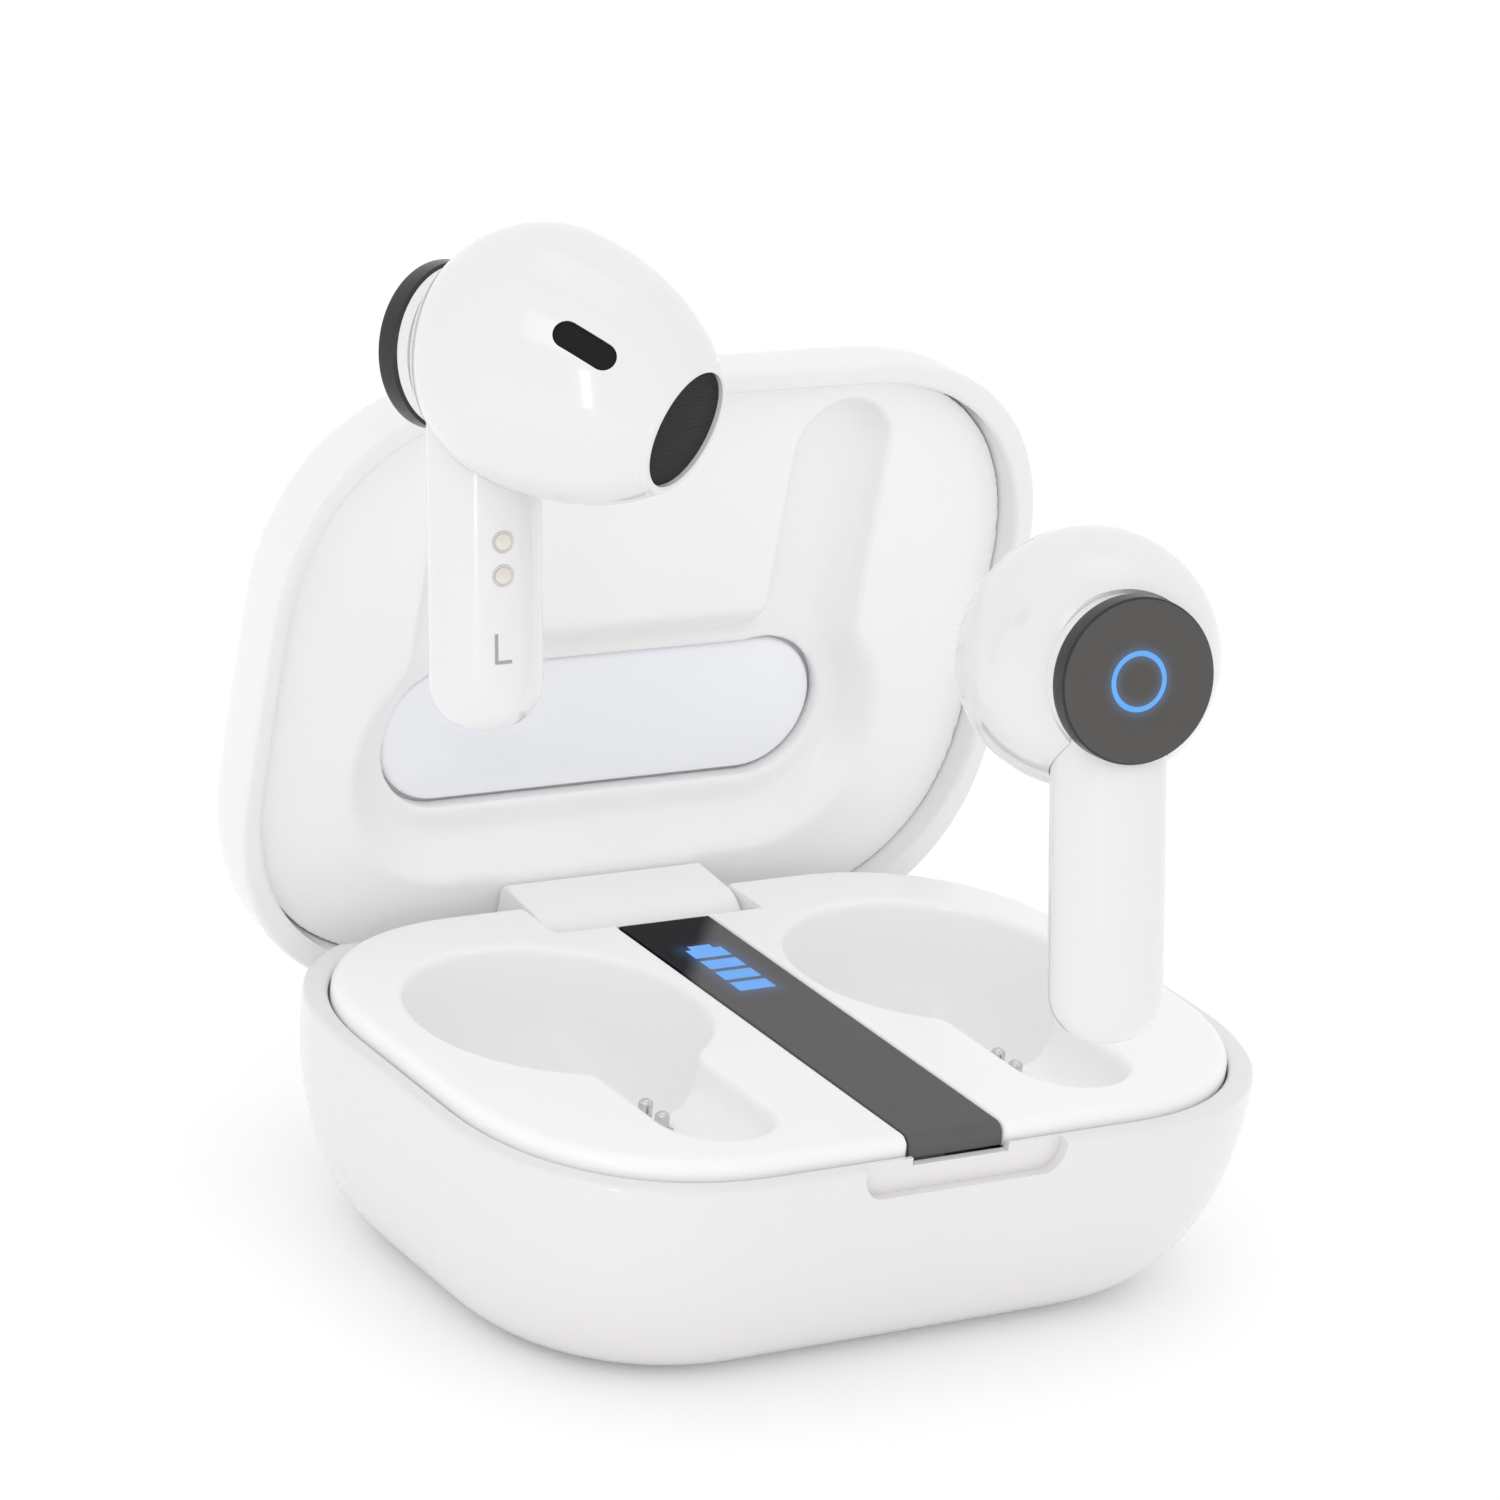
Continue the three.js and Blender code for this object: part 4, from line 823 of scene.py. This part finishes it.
# ---- Earbuds ----------------------------------------------------------------------
def bud_place(label, side):
    """The earbud's own frame, read from where its cap, ring and contacts are in the CAD."""
    cap, ring = middle_mm(f"touch_cap_{label}"), middle_mm(f"light_ring_{label}")
    up = middle_mm(f"contact_upper_{label}") - middle_mm(f"contact_lower_{label}")
    up /= np.linalg.norm(up)
    out = ring - cap
    out -= up * (out @ up)
    out /= np.linalg.norm(out)
    foot = cap - out * (CAP_FACE_X - CAP_THICKNESS / 2) - up * CAP_Z
    x_axis = out * side
    y_axis = np.cross(up, x_axis)
    turn = Matrix((x_axis, y_axis, up)).transposed().to_4x4()
    return Matrix.Translation(Vector(foot) * MM) @ turn


def head_radius(along, shrink=0.0):
    offset = along - HEAD_BACK
    reach = HEAD_BACK - shrink if offset < 0 else HEAD_TAPER - shrink
    return (HEAD_RADIUS - shrink) * math.sqrt(max(0, 1 - (offset / reach) ** 2))


def head_profile():
    """Outside of the head to the speaker's mouth, then back along the inside."""
    length = HEAD_BACK + HEAD_FRONT
    edge = 0.35
    outside = [(0, 0)]
    steps = 46
    for step in range(1, steps + 1):
        share = (1 - math.cos(step / steps * math.pi * 0.8)) / (1 - math.cos(math.pi * 0.8))
        along = (length - edge) * share
        outside.append((head_radius(along), along))
    last = outside[-1][0]
    for step in range(1, 6):
        turn = step / 5 * math.pi / 2
        reach = last - SPEAKER_RADIUS
        outside.append((last - reach * (1 - math.cos(turn)) * 0.8, length - edge + edge * math.sin(turn)))
    mouth = [(SPEAKER_RADIUS, length - 0.06), (SPEAKER_RADIUS - 0.02, length - 1.6)]
    inside = []
    for step in range(13):
        along = HEAD_WALL + (length - 1.8 - HEAD_WALL) * (1 - step / 12)
        inside.append((max(head_radius(along, HEAD_WALL), 0.02), along))
    return outside + mouth + inside[:-1] + [(0, HEAD_WALL)]


def stem_profile(grow, bottom=0.0, top=STEM_TOP):
    radius = STEM_RADIUS + grow
    profile = [(0, bottom - grow)]
    for step in range(1, 19):
        turn = step / 18 * math.pi / 2
        profile.append((radius * math.sin(turn) ** 0.85,
                        bottom - grow + 0.85 * radius * (1 - math.cos(turn))))
    return profile + [(radius, top), (0, top)]


def flattened(mesh_parts):
    points, faces = mesh_parts
    return points * (STEM_FLATTEN, 1, 1), faces


def disc_profile(radius, low, high, edge=0.0):
    if not edge:
        return [(0, low), (radius, low), (radius, high), (0, high)]
    arc = [(radius - edge * (1 - math.cos(turn)), high - edge * (1 - math.sin(turn)))
           for turn in np.linspace(0, math.pi / 2, 6)]
    return [(0, low), (radius, low), *arc, (0, high)]


def build_bud(label, side):
    place = bud_place(label, side)
    body = f"{label}_earbud"
    axis = Vector((HEAD_AXIS[0] * side, HEAD_AXIS[1], HEAD_AXIS[2])).normalized()
    middle = Vector((HEAD_MIDDLE[0] * side, HEAD_MIDDLE[1], HEAD_MIDDLE[2]))
    back = middle - axis * HEAD_BACK
    out = Vector((side, 0, 0))
    collar = Vector((side * (CAP_FACE_X - CAP_THICKNESS), 0, CAP_Z))
    head_place = place @ axis_place(back, axis)
    cap_place = place @ axis_place(collar, out)
    collar_disc = turned(disc_profile(COLLAR_RADIUS + SEAM, -COLLAR_DEPTH - GAP, 0.4))
    vent = vent_place(side, axis, back)

    head = piece(f"head_{label}", *turned(head_profile(), 96), BUD_WHITE, body, "gloss_white",
                 [f"head_shell_{label}"], head_place)
    cut(head, [
        cutter(*flattened(turned(stem_profile(0.05, top=STEM_TOP + 0.3))), place=place),
        cutter(*collar_disc, place=cap_place),
        cutter(*turned(disc_profile(CAP_RADIUS + SEAM, -SEAM, CAP_THICKNESS + 3)), place=cap_place),
        cutter(*vent_mesh(0.06, -1.6, 1.5), place=place @ vent),
    ])
    stem = piece(f"stem_{label}", *flattened(turned(stem_profile(0))), BUD_WHITE, body, "gloss_white",
                 [f"stem_shell_{label}"], place)
    spots = contact_spots(label, side, place)
    seat = turned(disc_profile(CONTACT_RADIUS + CONTACT_RIM_WIDTH + 0.01, -0.16, 2), 40)
    cut(stem, [cutter(*seat, place=place @ spot) for spot in spots.values()])
    neck = [(0, -COLLAR_DEPTH), (COLLAR_RADIUS, -COLLAR_DEPTH), (COLLAR_RADIUS, -0.1), (NECK_RADIUS, -0.05),
            (NECK_RADIUS, NECK_HEIGHT), (0, NECK_HEIGHT)]
    piece(f"neck_{label}", *turned(neck, 96), BUD_WHITE, body, "gloss_white", place=cap_place)
    build_cap(label, body, cap_place)
    build_contacts(label, body, place, spots)
    grille_disc(label, body, head_place)
    piece(f"vent_{label}", *vent_grille(0.03, -0.9, -0.08), GRILLE, body, "black_mesh",
          [f"vent_mesh_{label}"], place @ vent)
    build_side_mark(label, body, place, side)


def vent_place(side, axis, back):
    normal = Vector((VENT_SIDE[0] * side, VENT_SIDE[1], VENT_SIDE[2]))
    normal = (normal - axis * normal.dot(axis)).normalized()
    spot = back + axis * VENT_ALONG + normal * head_radius(VENT_ALONG)
    slope = (head_radius(VENT_ALONG + 0.1) - head_radius(VENT_ALONG - 0.1)) / 0.2
    along = (axis + normal * slope).normalized()
    outward = (normal - axis * slope).normalized()
    turn = Matrix((along, outward.cross(along), outward)).transposed().to_4x4()
    return Matrix.Translation(spot * MM) @ turn


def vent_mesh(grow, low, high):
    outline = capsule_outline(VENT_HALF[0] + grow, VENT_HALF[1] + grow, 0, 14)
    return stack([np.array([(x, y, z) for x, y in outline]) for z in (low, high)])


def vent_grille(grow, low, high):
    """The vent's plug, its top curved like the head around it."""
    outline = np.array(capsule_outline(VENT_HALF[0] + grow, VENT_HALF[1] + grow, 0, 14))
    rings = [np.column_stack([outline, np.full(len(outline), low)])]
    for share in (1, 0.8, 0.6, 0.4, 0.2):
        flat = outline * share
        rings.append(np.column_stack([flat, high - flat[:, 0] ** 2 / 24 - flat[:, 1] ** 2 / 15]))
    return stack(rings)


def build_cap(label, body, place):
    edge = 0.22
    arc = [(CAP_RADIUS - edge * (1 - math.cos(turn)), CAP_THICKNESS - edge * (1 - math.sin(turn)))
           for turn in np.linspace(0, math.pi / 2, 6)]
    half = RING_WIDTH / 2
    groove = [(RING_RADIUS + half, CAP_THICKNESS), (RING_RADIUS + half, CAP_THICKNESS - 0.7),
              (RING_RADIUS - half, CAP_THICKNESS - 0.7), (RING_RADIUS - half, CAP_THICKNESS)]
    face = [(radius, CAP_THICKNESS) for radius in (4.4, 3.4, 2.6)]
    low = NECK_HEIGHT + 0.02
    profile = [(0, low), (CAP_RADIUS - edge, low), (CAP_RADIUS, low + edge), *arc, *face, *groove,
               (1, CAP_THICKNESS), (0, CAP_THICKNESS)]
    piece(f"cap_{label}", *turned(profile, 96), CAP_SATIN, body, "cap_metal", [f"touch_cap_{label}"], place)
    top = CAP_THICKNESS - 0.01
    ring = [(RING_RADIUS - half + 0.01, top - 0.6), (RING_RADIUS + half - 0.01, top - 0.6),
            (RING_RADIUS + half - 0.01, top - 0.03), (RING_RADIUS + half - 0.05, top),
            (RING_RADIUS - half + 0.05, top), (RING_RADIUS - half + 0.01, top - 0.03)]
    piece(f"ring_{label}", *loop_turned(ring, 96), RING_LIGHT, body, "blue_light",
          [f"light_ring_{label}"], place)


def contact_spots(label, side, place):
    """Frames of the two contacts on the stem's surface, facing out of it."""
    direction = Vector((-side * math.cos(CONTACT_TURN), -math.sin(CONTACT_TURN), 0))
    spots = {}
    for level in ("lower", "upper"):
        centre = place.inverted() @ Vector(middle_mm(f"contact_{level}_{label}") * MM)
        spots[level] = axis_place(surface_spot(direction, centre.z / MM), direction)
    return spots


def surface_spot(direction, z, lift=0.0):
    """Where a ray from the stem's axis leaves the stem at a height."""
    reach = 1 / math.hypot(direction.x / (STEM_RADIUS * STEM_FLATTEN), direction.y / STEM_RADIUS)
    return Vector((direction.x * (reach + lift), direction.y * (reach + lift), z))


def build_contacts(label, body, place, spots):
    for level, spot in spots.items():
        outer = CONTACT_RADIUS + CONTACT_RIM_WIDTH
        rim = [(CONTACT_RADIUS, -0.15), (outer, -0.15), (outer, 0.0), (outer - 0.06, 0.05),
               (CONTACT_RADIUS, 0.0)]
        piece(f"contact_rim_{level}_{label}", *loop_turned(rim, 40), CONTACT_RIM, body, "gloss_white",
              place=place @ spot)
        crown = [(radius, 0.03 + 0.07 * (1 - (radius / CONTACT_RADIUS) ** 2))
                 for radius in (0.5, 0.4, 0.28, 0.14)]
        profile = [(0, -0.4), (CONTACT_RADIUS, -0.4), (CONTACT_RADIUS, 0.0), *crown, (0, 0.1)]
        piece(f"contact_{level}_{label}_pad", *turned(profile, 40), GOLD, body, "contact_gold",
              [f"contact_{level}_{label}"], place @ spot)


def grille_disc(label, body, head_place):
    length = HEAD_BACK + HEAD_FRONT
    top = length - 0.32
    dome = [(radius, top + 0.14 * (1 - (radius / SPEAKER_RADIUS) ** 2))
            for radius in (3.72, 3, 2.2, 1.4, 0.7)]
    profile = [(0, top - 0.5), (3.72, top - 0.5), *dome, (0, top + 0.14)]
    piece(f"speaker_grille_{label}", *turned(profile, 64), GRILLE, body, "black_mesh",
          [f"speaker_mesh_{label}"], head_place)


def build_side_mark(label, body, place, side):
    """A plain side letter, L or R, as thin strokes that follow the stem's surface."""
    strokes = {
        "left": [((-0.5, 0.85), (-0.5, -0.85)), ((-0.5, -0.85), (0.5, -0.85))],
        "right": [
            ((-0.5, -0.85), (-0.5, 0.85)), ((-0.5, 0.85), (0.3, 0.85)), ((0.3, 0.85), (0.5, 0.45)),
            ((0.5, 0.45), (0.3, 0.05)), ((0.3, 0.05), (-0.5, 0.05)), ((-0.1, 0.05), (0.5, -0.85)),
        ],
    }
    base_turn = math.atan2(-math.sin(CONTACT_TURN), -side * math.cos(CONTACT_TURN))
    points, faces = [], []
    for start, end in strokes[label]:
        run = np.array(end) - np.array(start)
        length = np.linalg.norm(run)
        run /= length
        normal = np.array([-run[1], run[0]]) * 0.11
        for step in range(9):
            spot = np.array(start) + run * (length * step / 8 + 0.09 * (step / 4 - 1))
            for edge, lift in ((normal, -0.05), (normal, 0.02), (-normal, 0.02), (-normal, -0.05)):
                across, height = spot + edge
                turn = base_turn + across / STEM_RADIUS
                direction = Vector((math.cos(turn), math.sin(turn), 0))
                points.append(surface_spot(direction, 5.75 + height, lift))
        first = len(points) - 36
        faces += [(first, first + 1, first + 2, first + 3), (first + 35, first + 34, first + 33, first + 32)]
        for step, corner in itertools.product(range(8), range(4)):
            low, turn = first + step * 4, (corner + 1) % 4
            faces.append((low + corner, low + turn, low + 4 + turn, low + 4 + corner))
    piece(f"side_mark_{label}", points, faces, MARK_GREY, body, "satin_white", place=place)


# ---- Charge pins and everything that keeps its CAD shape ---------------------------
def build_charge_pins():
    for label, place in itertools.product(("left", "right"), ("front", "rear")):
        node = f"charge_pin_{label}_{place}"
        low, high = box_mm(node)
        centre = (low + high) / 2
        radius = (high[0] - low[0]) / 2
        height = high[2] - low[2]
        dome = [(radius * math.cos(turn), height - radius * 0.8 * (1 - math.sin(turn)))
                for turn in np.linspace(0, math.pi / 2, 8)[:-1]]
        profile = [(0, 0), (radius * 0.9, 0), (radius, 0.1), *dome, (0, height)]
        spot = Matrix.Translation(Vector((centre[0], centre[1], low[2])) * MM)
        piece(f"{node}_turned", *turned(profile, 40), STEEL, f"{node}_body", "contact_gold", [node], spot)


CAD_LOOKS = {
    "main_board": BOARD, "bud_board": BOARD, "case_cell": FOIL, "bud_cell": FOIL, "charging_socket": STEEL,
    "closing_magnet": STEEL, "hinge_pin": STEEL, "hinge_spring": STEEL, "board_screw": STEEL,
    "pin_block": BLACK_PLASTIC, "hinge_lug": SATIN_WHITE, "speaker_driver": STEEL, "microphone": STEEL,
}


def dress_cad_nodes():
    for name, node in frame["nodes"].items():
        look = next((look for start, look in CAD_LOOKS.items() if name.startswith(start)), None)
        if look:
            node.data.materials.clear()
            node.data.materials.append(look)


# ---- Stage, lights and camera ------------------------------------------------------
def build_stage():
    material, tree, shader = new_material("floor_white")
    shade = tinted(tree, noise(tree, 5), (0.94, 0.94, 0.94), (0.97, 0.97, 0.97))
    link(tree, shade, shader.inputs["Base Color"])
    shader.inputs["Roughness"].default_value = 0.6
    shader.inputs["Specular IOR Level"].default_value = 0.2
    shader.inputs["Emission Color"].default_value = (1, 1, 1, 1)
    shader.inputs["Emission Strength"].default_value = 0.07
    half = 3
    mesh = bpy.data.meshes.new("floor")
    corners = [(-half, -half, 0), (half, -half, 0), (half, half, 0), (-half, half, 0)]
    mesh.from_pydata(corners, [], [(0, 1, 2, 3)])
    floor = bpy.data.objects.new("floor", mesh)
    bpy.context.scene.collection.objects.link(floor)
    mesh.materials.append(material)


def area_light(name, place, target, size, power, color=(1, 1, 1)):
    data = bpy.data.lights.new(name, "AREA")
    data.shape = "RECTANGLE"
    data.size, data.size_y = size
    data.energy = power
    data.color = color
    lamp = bpy.data.objects.new(name, data)
    lamp.location = place
    lamp.rotation_euler = (Vector(target) - Vector(place)).to_track_quat("-Z", "Y").to_euler()
    bpy.context.scene.collection.objects.link(lamp)


def light_scene():
    world = bpy.data.worlds.new("studio")
    bpy.context.scene.world = world
    world.use_nodes = True
    background = world.node_tree.nodes["Background"]
    background.inputs["Color"].default_value = (1, 1, 1, 1)
    background.inputs["Strength"].default_value = 1.0
    target = (0, 0, 0.02)
    area_light("key", (-0.5, -0.3, 0.6), target, (0.3, 0.3), 0.3)
    area_light("front_strip", (-0.42, -0.5, 0.14), target, (0.05, 0.4), 0.28)
    area_light("top", (0.1, 0.1, 0.8), target, (0.4, 0.4), 0.16)
    view = bpy.context.scene.view_settings
    view.view_transform = "Standard"
    view.look = "None"
    view.exposure = 0
    view.gamma = 1


def aim_camera():
    azimuth, elevation, roll = math.radians(-35.4), math.radians(20.12), math.radians(7.6)
    back = Vector((math.sin(azimuth) * math.cos(elevation), -math.cos(azimuth) * math.cos(elevation),
                   math.sin(elevation)))
    level = Vector((math.cos(azimuth), math.sin(azimuth), 0))
    upright = back.cross(level)
    right = level * math.cos(roll) + upright * math.sin(roll)
    up = upright * math.cos(roll) - level * math.sin(roll)
    data = bpy.data.cameras.new("camera")
    data.sensor_width = 36
    data.lens = 145.7
    data.clip_start = 0.02
    data.clip_end = 20
    camera = bpy.data.objects.new("camera", data)
    turn = Matrix((right, up, back)).transposed().to_4x4()
    camera.matrix_world = Matrix.Translation(Vector((-0.2241, -0.3074, 0.1745))) @ turn
    bpy.context.scene.collection.objects.link(camera)
    bpy.context.scene.camera = camera


build_base_shell()
build_deck()
build_lens()
build_level_lights()
build_hinge_leaf()
build_lid_shell()
build_lid_liner()
build_lid_inlay()
build_charge_pins()
for bud_label, bud_side in SIDES:
    build_bud(bud_label, bud_side)
dress_cad_nodes()
build_stage()
light_scene()
aim_camera()
